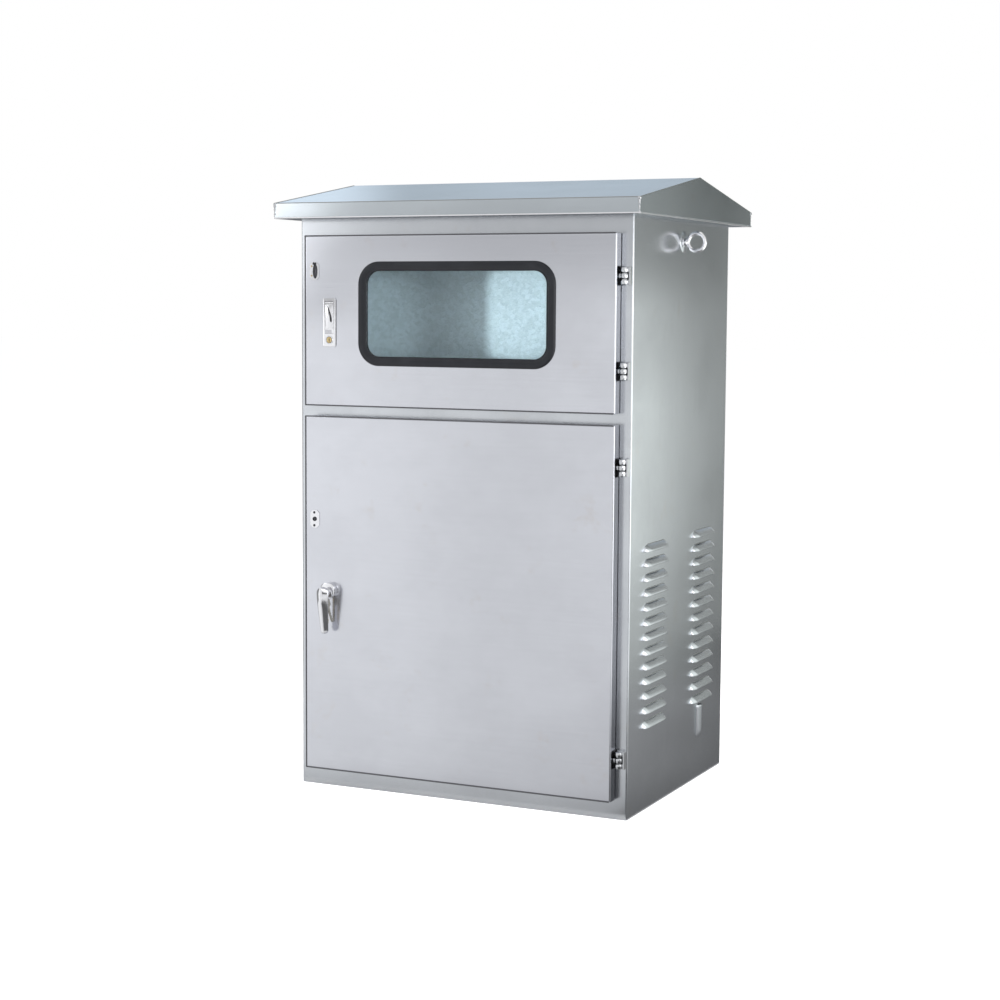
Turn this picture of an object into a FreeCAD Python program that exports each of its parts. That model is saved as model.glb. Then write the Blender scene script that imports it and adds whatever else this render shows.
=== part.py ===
import FreeCAD, Part
import math
import os
from types import SimpleNamespace

import Sketcher

# Outdoor electric meter box: folded stainless cabinet, gable roof, two overlay doors.
# Millimetres, +Z up, front towards -Y, origin at the middle of the base.

DIMENSIONS = {
    # Cabinet
    "cabinet_width": 685,
    "cabinet_depth": 520,
    "cabinet_height": 1110,
    "sheet": 1.5,
    "bend_radius": 3,
    "stile_width": 45,
    "frame_lip": 15,
    "frame_overlap": 20,
    # Doors
    "door_margin": 23,
    "door_proud": 25,
    "door_gap": 3,
    "door_lip": 14,
    "door_edge_radius": 2.5,
    "upper_door_drop": 44,
    "upper_door_height": 322,
    "door_spacing": 21,
    "lower_door_bottom": 37,
    "seal_inset": 2,
    "seal_width": 10,
    # Roof
    "roof_side_overhang": 30,
    "roof_end_overhang": 50,
    "fascia_overlap": 10,
    "fascia_height": 27,
    "ridge_rise": 51,
    "roof_lip": 15,
    "support_offset": 220,
    "support_inset": 10,
    "support_sheet": 2,
    "support_foot": 20,
    # Louvres
    "louvre_crease": 82,
    "louvre_end": 18,
    "louvre_rise": 12.5,
    "louvre_bulge": 10,
    "louvre_tip": 3,
    "louvre_pitch": 27.5,
    "louvre_rows": 13,
    "louvre_base": 157,
    "louvre_column": 132,
    "rib_column": 126,
    "rib_width": 26,
    "rib_crest": 12,
    "rib_bulge": 7,
    "rib_height": 64,
    "rib_slant": 12,
    "rib_base": 84,
    # Lifting eyes
    "eye_drop": 52,
    "eye_reach": 25.5,
    "eye_ring_radius": 16.6,
    "eye_wire_radius": 4,
    "eye_collar_radius": 7.5,
    "eye_collar_length": 7,
    "bolt_clearance": 0.3,
    # Hinges
    "hinge_reach": 10.5,
    "hinge_proud": 12,
    "hinge_inset": 76,
    "knuckle_radius": 7,
    "finger_height": 10,
    "finger_clearance": 0.4,
    "ear_height": 10.5,
    "ear_web": 2.7,
    "ear_web_gap": 1.2,
    "hinge_leaf": 3,
    "pin_radius": 3,
    "pin_clearance": 0.05,
    "arm_thickness": 8,
    "arm_foot": 8,
    "arm_root": 19.5,
    "hinge_notch_height": 34,
    "hinge_notch_depth": 17,
    "arm_plate_width": 26,
    "arm_plate_height": 30,
    # Window
    "window_width": 388,
    "window_height": 178,
    "window_lift": 14,
    "window_corner": 34,
    "gasket_outside": 9,
    "gasket_inside": 9,
    "gasket_front": 5,
    "gasket_back": 4,
    "gasket_web": 4,
    "glass_thickness": 5,
    "glass_front": 1.5,
    # Flush lock on the upper door
    "lock_column": 77,
    "lock_drop": 3,
    "lock_width": 27,
    "lock_height": 92,
    "lock_flange": 2,
    "lock_cup_width": 22,
    "lock_cup_height": 84,
    "lock_cup_depth": 20,
    "lock_wall": 1.5,
    "lock_well_height": 62,
    "lock_well_depth": 13,
    "lock_corner": 3,
    "flap_height": 54,
    "flap_thickness": 4,
    "flap_clearance": 0.4,
    "flap_pin_radius": 1.5,
    "flap_barrel_radius": 3,
    "flap_shoulder": 6,
    "plug_radius": 5.5,
    "plug_drop": 33,
    "plug_length": 20,
    "plug_proud": 0.6,
    "keyway_width": 1.6,
    "keyway_height": 6.5,
    "keyway_depth": 4,
    "cam_length": 46,
    "cam_width": 18,
    "cam_thickness": 3,
    "cam_setback": 17,
    "turn_clearance": 0.3,
    # Lever handle on the lower door
    "handle_height": 386,
    "handle_base_width": 32,
    "handle_base_height": 29,
    "handle_base_lift": 3.5,
    "handle_base_depth": 12,
    "handle_base_corner": 13,
    "neck_radius": 7,
    "neck_length": 14,
    "lever_top_radius": 12,
    "lever_end_radius": 7.5,
    "lever_length": 72,
    "lever_thickness": 12,
    "lever_end_thickness": 9,
    "lever_end_back": 7.5,
    "lever_straight": 16,
    "spindle_width": 7,
    "spindle_socket": 10,
    "spindle_tail": 5,
    # Keys hung on the handle's neck
    "key_ring_radius": 11.9,
    "key_ring_wire": 0.9,
    "key_ring_stand": 3,
    "key_thickness": 1.6,
    "key_spread": 0.4,
    "key_hole_radius": 4,
    "key_bow_width": 14,
    "key_bow_top": 5.5,
    "key_bow_shoulder": 9,
    "key_neck": 13,
    "key_blade_width": 5,
    "key_length": 43,
    "key_hang": 1,
    # Seal points
    "seal_column": 44,
    "upper_seal_drop": 67,
    "lower_seal_drop": 198,
    "seal_plate_width": 20,
    "seal_plate_height": 34,
    "seal_plate_sheet": 1.5,
    "seal_plate_corner": 5.5,
    # Mounting plates
    "meter_plate_side_gap": 21,
    "meter_plate_drop": 18,
    "meter_plate_lift": 48,
    "meter_plate_setback": 130,
    "meter_bracket_width": 35,
    "meter_bracket_depth": 30,
    "meter_bracket_sheet": 2,
    "equipment_plate_width": 600,
    "equipment_plate_drop": 42,
    "equipment_plate_bottom": 80,
    "equipment_plate_gap": 58,
    "equipment_plate_sheet": 2,
    "equipment_rail_inset": 20,
    "equipment_rail_width": 30,
    "equipment_rail_sheet": 2,
    # Shelf and base
    "shelf_drop": 12,
    "cable_slot_width": 240,
    "cable_slot_depth": 60,
    "cable_slot_centre": 200,
    "anchor_radius": 7,
    "anchor_spacing_x": 560,
    "anchor_spacing_y": 400,
    "gland_width": 110,
    "gland_depth": 90,
    "gland_centre": 100,
    "gland_border": 15,
    "gland_sheet": 2,
    "earth_stud_radius": 4,
    "earth_stud_length": 30,
    "earth_stud_x": 250,
    "earth_stud_y": 60,
}

doc = FreeCAD.newDocument("ElectricMeterBox")
sheet = doc.addObject("Spreadsheet::Sheet", "Dims")
for row, (alias, amount) in enumerate(DIMENSIONS.items(), start=1):
    sheet.set(f"A{row}", alias.replace("_", " "))
    sheet.set(f"B{row}", str(amount))
    sheet.setAlias(f"B{row}", alias)
doc.recompute()


class Size:
    """A length as an expression on the sheet, with its present value beside it."""

    def __init__(self, text, value):
        self.text = text
        self.value = value

    def joined(self, sign, other, value):
        return Size(f"({self.text} {sign} {other.text})", value)

    def __add__(self, other):
        other = as_size(other)
        return self.joined("+", other, self.value + other.value)

    def __sub__(self, other):
        other = as_size(other)
        return self.joined("-", other, self.value - other.value)

    def __mul__(self, other):
        other = as_size(other)
        return self.joined("*", other, self.value * other.value)

    def __truediv__(self, other):
        other = as_size(other)
        return self.joined("/", other, self.value / other.value)

    def __neg__(self):
        return Size(f"(0 - {self.text})", -self.value)


def as_size(number):
    return number if isinstance(number, Size) else Size(str(number), float(number))


def root(size):
    return Size(f"sqrt({size.text})", math.sqrt(size.value))


dim = SimpleNamespace(**{name: Size(f"Dims.{name}", float(sheet.get(name))) for name in DIMENSIONS})
ZERO = as_size(0)
UP = 1
DOWN = -1
EYE_SECTION_FACES = 6
BRASS_KEY_LIE = (6, -25)
STEEL_KEY_LIE = (18, -25)
EIGHTH_TURN = math.tan(math.pi / 8)

# Sizes worked out once and shared by several pieces
half_width = dim.cabinet_width / 2
half_depth = dim.cabinet_depth / 2
front_plane = -half_depth
opening_half = half_width - dim.stile_width
upper_door_top = dim.cabinet_height - dim.upper_door_drop
upper_door_bottom = upper_door_top - dim.upper_door_height
upper_door_middle = (upper_door_top + upper_door_bottom) / 2
lower_door_top = upper_door_bottom - dim.door_spacing
window_centre = upper_door_middle + dim.window_lift
lock_centre = upper_door_middle - dim.lock_drop
shelf_height = upper_door_bottom - dim.shelf_drop
meter_plate_top = dim.cabinet_height - dim.meter_plate_drop
meter_plate_bottom = shelf_height + dim.meter_plate_lift
equipment_plate_top = shelf_height - dim.equipment_plate_drop
fascia_bottom = dim.cabinet_height - dim.fascia_overlap
eye_height = dim.cabinet_height - dim.eye_drop
door_half = half_width - dim.door_margin
door_face = front_plane - dim.door_proud
door_inside = door_face + dim.sheet
hinge_x = door_half + dim.hinge_reach
hinge_y = front_plane - dim.hinge_proud
lock_x = dim.lock_column - half_width
seal_x = dim.seal_column - half_width
mid_rail_bottom = lower_door_top - dim.frame_overlap
mid_rail_top = upper_door_bottom + dim.frame_overlap
roof_half_width = half_width + dim.roof_side_overhang
roof_half_depth = half_depth + dim.roof_end_overhang
eave_top = fascia_bottom + dim.fascia_height
roof_slope = dim.ridge_rise / roof_half_depth
roof_drop = dim.sheet * root(roof_slope * roof_slope + 1)
hinge_heights = {
    "upper": (upper_door_bottom + dim.hinge_inset, upper_door_top - dim.hinge_inset),
    "lower": (dim.lower_door_bottom + dim.hinge_inset, lower_door_top - dim.hinge_inset),
}


# Helpers for the document


def bind(thing, path, size):
    thing.setExpression(path, as_size(size).text)


def place(thing, x=0, y=0, z=0):
    for axis, size in zip("xyz", (x, y, z)):
        bind(thing, f"Placement.Base.{axis}", size)


def new_body(label):
    body = doc.addObject("PartDesign::Body", label)
    body.Label = label
    return body


def sketch_on(body, role, across=0, up=0, out=0):
    """A sketch on one of the body's own planes, its origin shifted within and off the plane."""
    sketch = body.newObject("Sketcher::SketchObject", f"{body.Name}_sketch")
    plane = [item for item in body.Origin.OriginFeatures if item.Role == role]
    sketch.AttachmentSupport = [(plane[0], "")]
    sketch.MapMode = "FlatFace"
    for axis, size in zip("xyz", (across, up, out)):
        bind(sketch, f"AttachmentOffset.Base.{axis}", size)
    return sketch


def pin_point(sketch, geometry, end, x=None, y=None):
    """Fix one point of a sketch by its distances from the sketch's origin."""
    for kind, axis_line, size in (("DistanceX", -2, x), ("DistanceY", -1, y)):
        if size is None:
            continue
        size = as_size(size)
        if size.value == 0:
            sketch.addConstraint(Sketcher.Constraint("PointOnObject", geometry, end, axis_line))
            continue
        index = sketch.addConstraint(Sketcher.Constraint(kind, -1, 1, geometry, end, size.value))
        bind(sketch, f"Constraints[{index}]", size)


def point(x, y):
    return FreeCAD.Vector(as_size(x).value, as_size(y).value, 0)


def outline(sketch, corners):
    """A closed outline of straight lines through corners given as pairs of sizes."""
    first = sketch.GeometryCount
    count = len(corners)
    for index in range(count):
        ends = point(*corners[index]), point(*corners[(index + 1) % count])
        sketch.addGeometry(Part.LineSegment(*ends), False)
    for index in range(count):
        after = first + (index + 1) % count
        sketch.addConstraint(Sketcher.Constraint("Coincident", first + index, 2, after, 1))
    for index, (x, y) in enumerate(corners):
        pin_point(sketch, first + index, 1, x, y)
    return sketch


def rectangle(sketch, left, right, bottom, top):
    return outline(sketch, [(left, bottom), (right, bottom), (right, top), (left, top)])


def octagon(sketch, radius):
    """Eight flats round the sketch's origin, each touching a circle."""
    near_side = radius * EIGHTH_TURN
    outline(sketch, [
        (radius, -near_side),
        (radius, near_side),
        (near_side, radius),
        (-near_side, radius),
        (-radius, near_side),
        (-radius, -near_side),
        (-near_side, -radius),
        (near_side, -radius),
    ])


def circle(sketch, x, y, radius):
    round_line = Part.Circle(point(x, y), FreeCAD.Vector(0, 0, 1), as_size(radius).value)
    geometry = sketch.addGeometry(round_line, False)
    pin_point(sketch, geometry, 3, x, y)
    index = sketch.addConstraint(Sketcher.Constraint("Radius", geometry, as_size(radius).value))
    bind(sketch, f"Constraints[{index}]", radius)
    return sketch


def feature(body, kind, sketch, length, back):
    step = body.newObject(f"PartDesign::{kind}", f"{body.Name}_{kind}")
    step.Profile = sketch
    step.Reversed = back
    bind(step, "Length", length)
    doc.recompute()
    return step


def pad(body, sketch, length, back=False):
    return feature(body, "Pad", sketch, length, back)


def pocket(body, sketch, length, back=False):
    return feature(body, "Pocket", sketch, length, back)


def revolve(body, sketch, degrees, back=False, axis="V_Axis"):
    step = body.newObject("PartDesign::Revolution", f"{body.Name}_turn")
    step.Profile = sketch
    step.ReferenceAxis = (sketch, [axis])
    step.Angle = degrees
    step.Reversed = back
    doc.recompute()
    return step


def edges_of(step, chosen):
    """The names of a finished step's edges whose middle point passes a test."""
    doc.recompute()
    names = []
    for index, edge in enumerate(step.Shape.Edges, start=1):
        middle = edge.valueAt((edge.FirstParameter + edge.LastParameter) / 2)
        if chosen(edge, middle):
            names.append(f"Edge{index}")
    return names


def round_edges(body, step, radius, chosen):
    rounding = body.newObject("PartDesign::Fillet", f"{body.Name}_round")
    rounding.Base = (step, edges_of(step, chosen))
    bind(rounding, "Radius", radius)
    doc.recompute()
    return rounding


def bevel_edges(body, step, width, chosen):
    bevel = body.newObject("PartDesign::Chamfer", f"{body.Name}_bevel")
    bevel.Base = (step, edges_of(step, chosen))
    bind(bevel, "Size", width)
    doc.recompute()
    return bevel


def near(number, size):
    return abs(number - as_size(size).value) < 0.01


def runs_along(edge, axis):
    ends = edge.Vertexes
    if len(ends) != 2 or edge.Curve.TypeId != "Part::GeomLine":
        return False
    step = ends[1].Point - ends[0].Point
    return abs(getattr(step, axis)) > 0.999 * step.Length


def box(name, low, high):
    thing = doc.addObject("Part::Box", name)
    for side, axis in enumerate(("Length", "Width", "Height")):
        bind(thing, axis, as_size(high[side]) - low[side])
    place(thing, *low)
    return thing


TURN_TO = {
    "x": FreeCAD.Rotation(FreeCAD.Vector(0, 1, 0), 90),
    "y": FreeCAD.Rotation(FreeCAD.Vector(1, 0, 0), -90),
    "z": FreeCAD.Rotation(),
}


def cylinder(name, radius, length, axis, x, y, z):
    """A round bar that starts at a point and runs along a positive axis."""
    thing = doc.addObject("Part::Cylinder", name)
    bind(thing, "Radius", radius)
    bind(thing, "Height", length)
    thing.Placement.Rotation = TURN_TO[axis]
    place(thing, x, y, z)
    return thing


def cut(label, base, tool):
    thing = doc.addObject("Part::Cut", label)
    thing.Label = label
    thing.Base = base
    thing.Tool = tool
    return thing


def group(label, pieces):
    thing = doc.addObject("Part::Compound", label)
    thing.Label = label
    thing.Links = pieces
    return thing


def mirrored(label, source):
    """The left-hand copy of a right-hand piece."""
    thing = doc.addObject("Part::Mirroring", label)
    thing.Label = label
    thing.Source = source
    thing.Normal = FreeCAD.Vector(1, 0, 0)
    return thing


# Side panels: wall, folded stile and lip, two columns of pressed louvres, one pressed rib


def louvre(body, column):
    """One hood: a block with sloping ends, a sloping front and bevelled corners, then hollowed."""
    rise, bulge, end = dim.louvre_rise, dim.louvre_bulge, dim.louvre_end
    half = dim.louvre_crease / 2
    reach = half + end
    side = sketch_on(body, "YZ_Plane", column, dim.louvre_base)
    outline(side, [(-reach, 0), (reach, 0), (half, rise), (-half, rise)])
    block = pad(body, side, bulge)

    front = sketch_on(body, "XZ_Plane", 0, dim.louvre_base, reach - column)
    outline(front, [(bulge, 0), (bulge, rise), (0, rise)])
    slope = pocket(body, front, reach * 2)

    plan = sketch_on(body, "XY_Plane", 0, column, dim.louvre_base)
    outline(plan, [(bulge, half), (bulge, reach), (dim.louvre_tip, reach)])
    outline(plan, [(bulge, -half), (bulge, -reach), (dim.louvre_tip, -reach)])
    corners = pocket(body, plan, rise, back=True)

    lean = bulge / rise
    mouth = bulge - dim.sheet * root(lean * lean + 1)
    inside = -(dim.sheet * 2)
    section = sketch_on(body, "XZ_Plane", 0, dim.louvre_base, half - column)
    outline(section, [(inside, ZERO), (mouth, ZERO), (inside, (mouth - inside) / lean)])
    hollow = pocket(body, section, dim.louvre_crease)
    return [block, slope, corners, hollow]


def rib_outline(sketch, root_x, half, crest_x, half_crest):
    outline(sketch, [(root_x, -half), (crest_x, -half_crest), (crest_x, half_crest), (root_x, half)])


def pressed_rib(body):
    """Upright rib with a sloping lower end, hollow from the inside."""
    half = dim.rib_width / 2
    half_crest = dim.rib_crest / 2
    plan = sketch_on(body, "XY_Plane", 0, dim.rib_column, dim.rib_base)
    rib_outline(plan, ZERO, half, dim.rib_bulge, half_crest)
    pad(body, plan, dim.rib_height)
    foot = sketch_on(body, "XZ_Plane", 0, dim.rib_base, half - dim.rib_column)
    outline(foot, [(0, 0), (dim.rib_bulge, 0), (dim.rib_bulge, dim.rib_slant)])
    pocket(body, foot, dim.rib_width)
    hollow = sketch_on(body, "XY_Plane", 0, dim.rib_column, dim.rib_base + dim.rib_slant)
    rib_outline(hollow, -dim.sheet, half - dim.sheet, dim.rib_bulge - dim.sheet, half_crest - dim.sheet)
    pocket(body, hollow, dim.rib_height - dim.rib_slant - dim.sheet, back=True)


def side_panel(label):
    body = new_body(label)
    place(body, half_width)
    stile = -dim.stile_width
    inner_front = front_plane + dim.sheet
    wall = sketch_on(body, "XY_Plane")
    outline(wall, [
        (0, half_depth),
        (0, front_plane),
        (stile, front_plane),
        (stile, inner_front),
        (-dim.sheet, inner_front),
        (-dim.sheet, half_depth),
    ])
    step = pad(body, wall, dim.cabinet_height)

    def outer_corner(edge, middle):
        return runs_along(edge, "z") and near(middle.x, 0) and near(middle.y, front_plane)

    def inner_corner(edge, middle):
        return runs_along(edge, "z") and near(middle.x, -dim.sheet) and near(middle.y, inner_front)

    step = round_edges(body, step, dim.bend_radius, outer_corner)
    round_edges(body, step, dim.bend_radius - dim.sheet, inner_corner)

    lip = sketch_on(body, "XY_Plane", out=dim.sheet)
    rectangle(lip, stile, stile + dim.sheet, inner_front, front_plane + dim.frame_lip)
    pad(body, lip, dim.cabinet_height - dim.sheet * 2)

    pressed_rib(body)
    steps = louvre(body, -dim.louvre_column) + louvre(body, dim.louvre_column)
    rows = body.newObject("PartDesign::LinearPattern", f"{body.Name}_rows")
    rows.Originals = steps
    rows.Direction = (wall, ["N_Axis"])
    bind(rows, "Length", dim.louvre_pitch * (dim.louvre_rows - 1))
    bind(rows, "Occurrences", dim.louvre_rows)
    body.Tip = rows
    doc.recompute()
    return body


# Panels that close the cabinet


def floor_outline(sketch):
    reach = half_width - dim.sheet
    return rectangle(sketch, -reach, reach, front_plane + dim.sheet, half_depth - dim.sheet)


def rail_profile(sketch, face, edge, turn):
    """Front rail folded off a panel, with a lip turned in at its free edge."""
    inner = front_plane + dim.sheet
    back = front_plane + dim.frame_lip
    return outline(sketch, [
        (front_plane, face),
        (front_plane, edge),
        (back, edge),
        (back, edge - turn),
        (inner, edge - turn),
        (inner, face),
    ])


def bottom_panel():
    body = new_body("bottom_panel")
    pad(body, floor_outline(sketch_on(body, "XY_Plane")), dim.sheet)
    rail = sketch_on(body, "YZ_Plane", out=-opening_half)
    rail_profile(rail, ZERO, dim.lower_door_bottom + dim.frame_overlap, dim.sheet)
    pad(body, rail, opening_half * 2)
    gland = sketch_on(body, "XY_Plane")
    reach = dim.gland_width / 2
    depth = dim.gland_depth / 2
    rectangle(gland, -reach, reach, dim.gland_centre - depth, dim.gland_centre + depth)
    pocket(body, gland, dim.sheet, back=True)
    anchors = sketch_on(body, "XY_Plane")
    for x in (-dim.anchor_spacing_x / 2, dim.anchor_spacing_x / 2):
        for y in (-dim.anchor_spacing_y / 2, dim.anchor_spacing_y / 2):
            circle(anchors, x, y, dim.anchor_radius)
    pocket(body, anchors, dim.sheet, back=True)
    return body


def top_panel():
    body = new_body("top_panel")
    under = dim.cabinet_height - dim.sheet
    pad(body, floor_outline(sketch_on(body, "XY_Plane", out=under)), dim.sheet)
    rail = sketch_on(body, "YZ_Plane", out=-opening_half)
    rail_profile(rail, dim.cabinet_height, upper_door_top - dim.frame_overlap, -dim.sheet)
    pad(body, rail, opening_half * 2)
    return body


def back_panel():
    reach = half_width - dim.sheet
    panel = box("back_panel", (-reach, half_depth - dim.sheet, 0), (reach, half_depth, dim.cabinet_height))
    panel.Label = "back_panel"
    return panel


def middle_rail():
    body = new_body("middle_rail")
    sketch = sketch_on(body, "YZ_Plane", out=-opening_half)
    inner = front_plane + dim.sheet
    back = front_plane + dim.frame_lip
    outline(sketch, [
        (front_plane, mid_rail_bottom),
        (back, mid_rail_bottom),
        (back, mid_rail_bottom + dim.sheet),
        (inner, mid_rail_bottom + dim.sheet),
        (inner, mid_rail_top - dim.sheet),
        (back, mid_rail_top - dim.sheet),
        (back, mid_rail_top),
        (front_plane, mid_rail_top),
    ])
    pad(body, sketch, opening_half * 2)
    return body


def divider_shelf():
    body = new_body("divider_shelf")
    wide = half_width - dim.sheet
    inner = front_plane + dim.sheet
    shoulder = front_plane + dim.frame_lip
    back = half_depth - dim.sheet
    sketch = sketch_on(body, "XY_Plane", out=shelf_height)
    outline(sketch, [
        (-opening_half, inner),
        (opening_half, inner),
        (opening_half, shoulder),
        (wide, shoulder),
        (wide, back),
        (-wide, back),
        (-wide, shoulder),
        (-opening_half, shoulder),
    ])
    pad(body, sketch, dim.sheet)
    slot = sketch_on(body, "XY_Plane", out=shelf_height)
    reach = dim.cable_slot_width / 2
    depth = dim.cable_slot_depth / 2
    rectangle(slot, -reach, reach, dim.cable_slot_centre - depth, dim.cable_slot_centre + depth)
    pocket(body, slot, dim.sheet, back=True)
    return body


# Roof


def roof_hood():
    body = new_body("roof_hood")
    ends = roof_half_width - dim.sheet
    eave = roof_half_depth
    low = fascia_bottom
    inside = low + dim.sheet
    ridge = eave_top + dim.ridge_rise
    shoulder = eave_top - roof_drop + roof_slope * dim.sheet
    sketch = sketch_on(body, "YZ_Plane", out=-ends)
    outline(sketch, [
        (dim.roof_lip - eave, low),
        (-eave, low),
        (-eave, eave_top),
        (0, ridge),
        (eave, eave_top),
        (eave, low),
        (eave - dim.roof_lip, low),
        (eave - dim.roof_lip, inside),
        (eave - dim.sheet, inside),
        (eave - dim.sheet, shoulder),
        (0, ridge - roof_drop),
        (dim.sheet - eave, shoulder),
        (dim.sheet - eave, inside),
        (dim.roof_lip - eave, inside),
    ])
    pad(body, sketch, ends * 2)
    return body


def roof_gable(label):
    body = new_body(label)
    inner = roof_half_width - dim.sheet
    eave = roof_half_depth
    low = fascia_bottom
    plate = sketch_on(body, "YZ_Plane", out=inner)
    outline(plate, [
        (-eave, low),
        (eave, low),
        (eave, eave_top),
        (0, eave_top + dim.ridge_rise),
        (-eave, eave_top),
    ])
    pad(body, plate, dim.sheet)
    lip = sketch_on(body, "YZ_Plane", out=inner)
    reach = eave - dim.roof_lip
    rectangle(lip, -reach, reach, low, low + dim.sheet)
    pad(body, lip, dim.roof_lip, back=True)
    return body


def roof_support(label):
    """Gable-shaped web standing on the top panel, with a welded foot."""
    body = new_body(label)
    reach = half_depth - dim.support_inset
    low = dim.cabinet_height
    shoulder = eave_top + roof_slope * (roof_half_depth - reach) - roof_drop
    web = sketch_on(body, "YZ_Plane", out=dim.support_offset)
    outline(web, [
        (-reach, low),
        (reach, low),
        (reach, shoulder),
        (0, eave_top + dim.ridge_rise - roof_drop),
        (-reach, shoulder),
    ])
    pad(body, web, dim.support_sheet)
    foot = sketch_on(body, "YZ_Plane", out=dim.support_offset + dim.support_sheet)
    rectangle(foot, -reach, reach, low, low + dim.support_sheet)
    pad(body, foot, dim.support_foot)
    return body


# Lifting eyes


def lifting_eye(name):
    """Welded eye: a ring of many-sided bar on a round collar."""
    body = new_body(name)
    place(body, half_width + dim.eye_reach, 0, eye_height)
    section = sketch_on(body, "YZ_Plane")
    turn = 2 * math.pi / EYE_SECTION_FACES
    angles = [turn * (step + 0.5) for step in range(EYE_SECTION_FACES)]
    corners = [
        (dim.eye_wire_radius * math.cos(angle), dim.eye_ring_radius + dim.eye_wire_radius * math.sin(angle))
        for angle in angles
    ]
    outline(section, corners)
    revolve(body, section, 360, axis="H_Axis")
    collar = sketch_on(body, "YZ_Plane", out=-dim.eye_reach)
    octagon(collar, dim.eye_collar_radius)
    pad(body, collar, dim.eye_collar_length)
    return body


def lifting_eyes():
    eye = lifting_eye("eye_right")
    return group("lifting_eyes", [eye, mirrored("eye_left", eye)])


# Mounting plates


def meter_plate():
    body = new_body("meter_plate")
    reach = half_width - dim.sheet - dim.meter_plate_side_gap
    face = front_plane + dim.meter_plate_setback
    plate = sketch_on(body, "XZ_Plane", out=-face)
    rectangle(plate, -reach, reach, meter_plate_bottom, meter_plate_top)
    pad(body, plate, dim.sheet, back=True)
    return body


def meter_plate_bracket(label):
    """Angle welded to the side wall; the meter plate is fixed to its front leg."""
    body = new_body(label)
    wall = half_width - dim.sheet
    near_leg = front_plane + dim.meter_plate_setback + dim.sheet
    far = near_leg + dim.meter_bracket_depth
    inner = wall - dim.meter_bracket_width
    thick = dim.meter_bracket_sheet
    angle = sketch_on(body, "XY_Plane", out=meter_plate_bottom)
    outline(angle, [
        (inner, near_leg),
        (wall, near_leg),
        (wall, far),
        (wall - thick, far),
        (wall - thick, near_leg + thick),
        (inner, near_leg + thick),
    ])
    pad(body, angle, meter_plate_top - meter_plate_bottom)
    return body


def equipment_plate():
    reach = dim.equipment_plate_width / 2
    back = half_depth - dim.sheet - dim.equipment_plate_gap
    face = back - dim.equipment_plate_sheet
    plate = box(
        "equipment_plate",
        (-reach, face, dim.equipment_plate_bottom),
        (reach, back, equipment_plate_top))
    plate.Label = "equipment_plate"
    return plate


def equipment_rail(label):
    """Folded channel welded to the back panel; the equipment plate is fixed to its front leg."""
    body = new_body(label)
    wall = half_depth - dim.sheet
    front = wall - dim.equipment_plate_gap
    thick = dim.equipment_rail_sheet
    right = dim.equipment_plate_width / 2 - dim.equipment_rail_inset
    left = right - dim.equipment_rail_width
    channel = sketch_on(body, "XY_Plane", out=dim.equipment_plate_bottom)
    outline(channel, [
        (left, front),
        (right, front),
        (right, front + thick),
        (left + thick, front + thick),
        (left + thick, wall - thick),
        (right, wall - thick),
        (right, wall),
        (left, wall),
    ])
    pad(body, channel, equipment_plate_top - dim.equipment_plate_bottom)
    return body


# Base fittings


def earth_stud():
    stud = cylinder(
        "earth_stud", dim.earth_stud_radius, dim.earth_stud_length, "z",
        dim.earth_stud_x, dim.earth_stud_y, dim.sheet)
    stud.Label = "earth_stud"
    return stud


def gland_plate():
    """Blank plate over the cable opening, drilled when the box is installed."""
    body = new_body("gland_plate")
    reach = dim.gland_width / 2 + dim.gland_border
    depth = dim.gland_depth / 2 + dim.gland_border
    plate = sketch_on(body, "XY_Plane", out=dim.sheet)
    rectangle(plate, -reach, reach, dim.gland_centre - depth, dim.gland_centre + depth)
    pad(body, plate, dim.gland_sheet)
    return body


# Hinges: a bracket with two ears on the stile, a single knuckle on the door, a plain pin

ear_gap = dim.finger_height / 2 + dim.finger_clearance
ear_reach = ear_gap + dim.ear_height
web_inside = dim.knuckle_radius + dim.ear_web_gap
web_outside = web_inside + dim.ear_web


def hinge_bracket(name, height):
    body = new_body(name)
    place(body, hinge_x, hinge_y, height)
    seat = dim.hinge_proud
    leaf = sketch_on(body, "XY_Plane", out=-ear_reach)
    outline(leaf, [
        (-dim.knuckle_radius, seat),
        (-dim.knuckle_radius, seat - dim.hinge_leaf),
        (web_inside, seat - dim.hinge_leaf),
        (web_inside, 0),
        (web_outside, 0),
        (web_outside, seat),
    ])
    pad(body, leaf, ear_reach * 2)
    round_side = dim.knuckle_radius
    bevel = round_side * EIGHTH_TURN
    for start in (-ear_reach, ear_gap):
        ear = sketch_on(body, "XY_Plane", out=start)
        outline(ear, [
            (-round_side, seat - dim.hinge_leaf),
            (-round_side, -bevel),
            (-bevel, -round_side),
            (bevel, -round_side),
            (round_side, -bevel),
            (round_side, 0),
            (web_inside, 0),
            (web_inside, seat - dim.hinge_leaf),
        ])
        pad(body, ear, dim.ear_height)
    bore = sketch_on(body, "XY_Plane", out=-ear_reach)
    circle(bore, 0, 0, dim.pin_radius + dim.pin_clearance)
    pocket(body, bore, ear_reach * 2, back=True)
    return body


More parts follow.
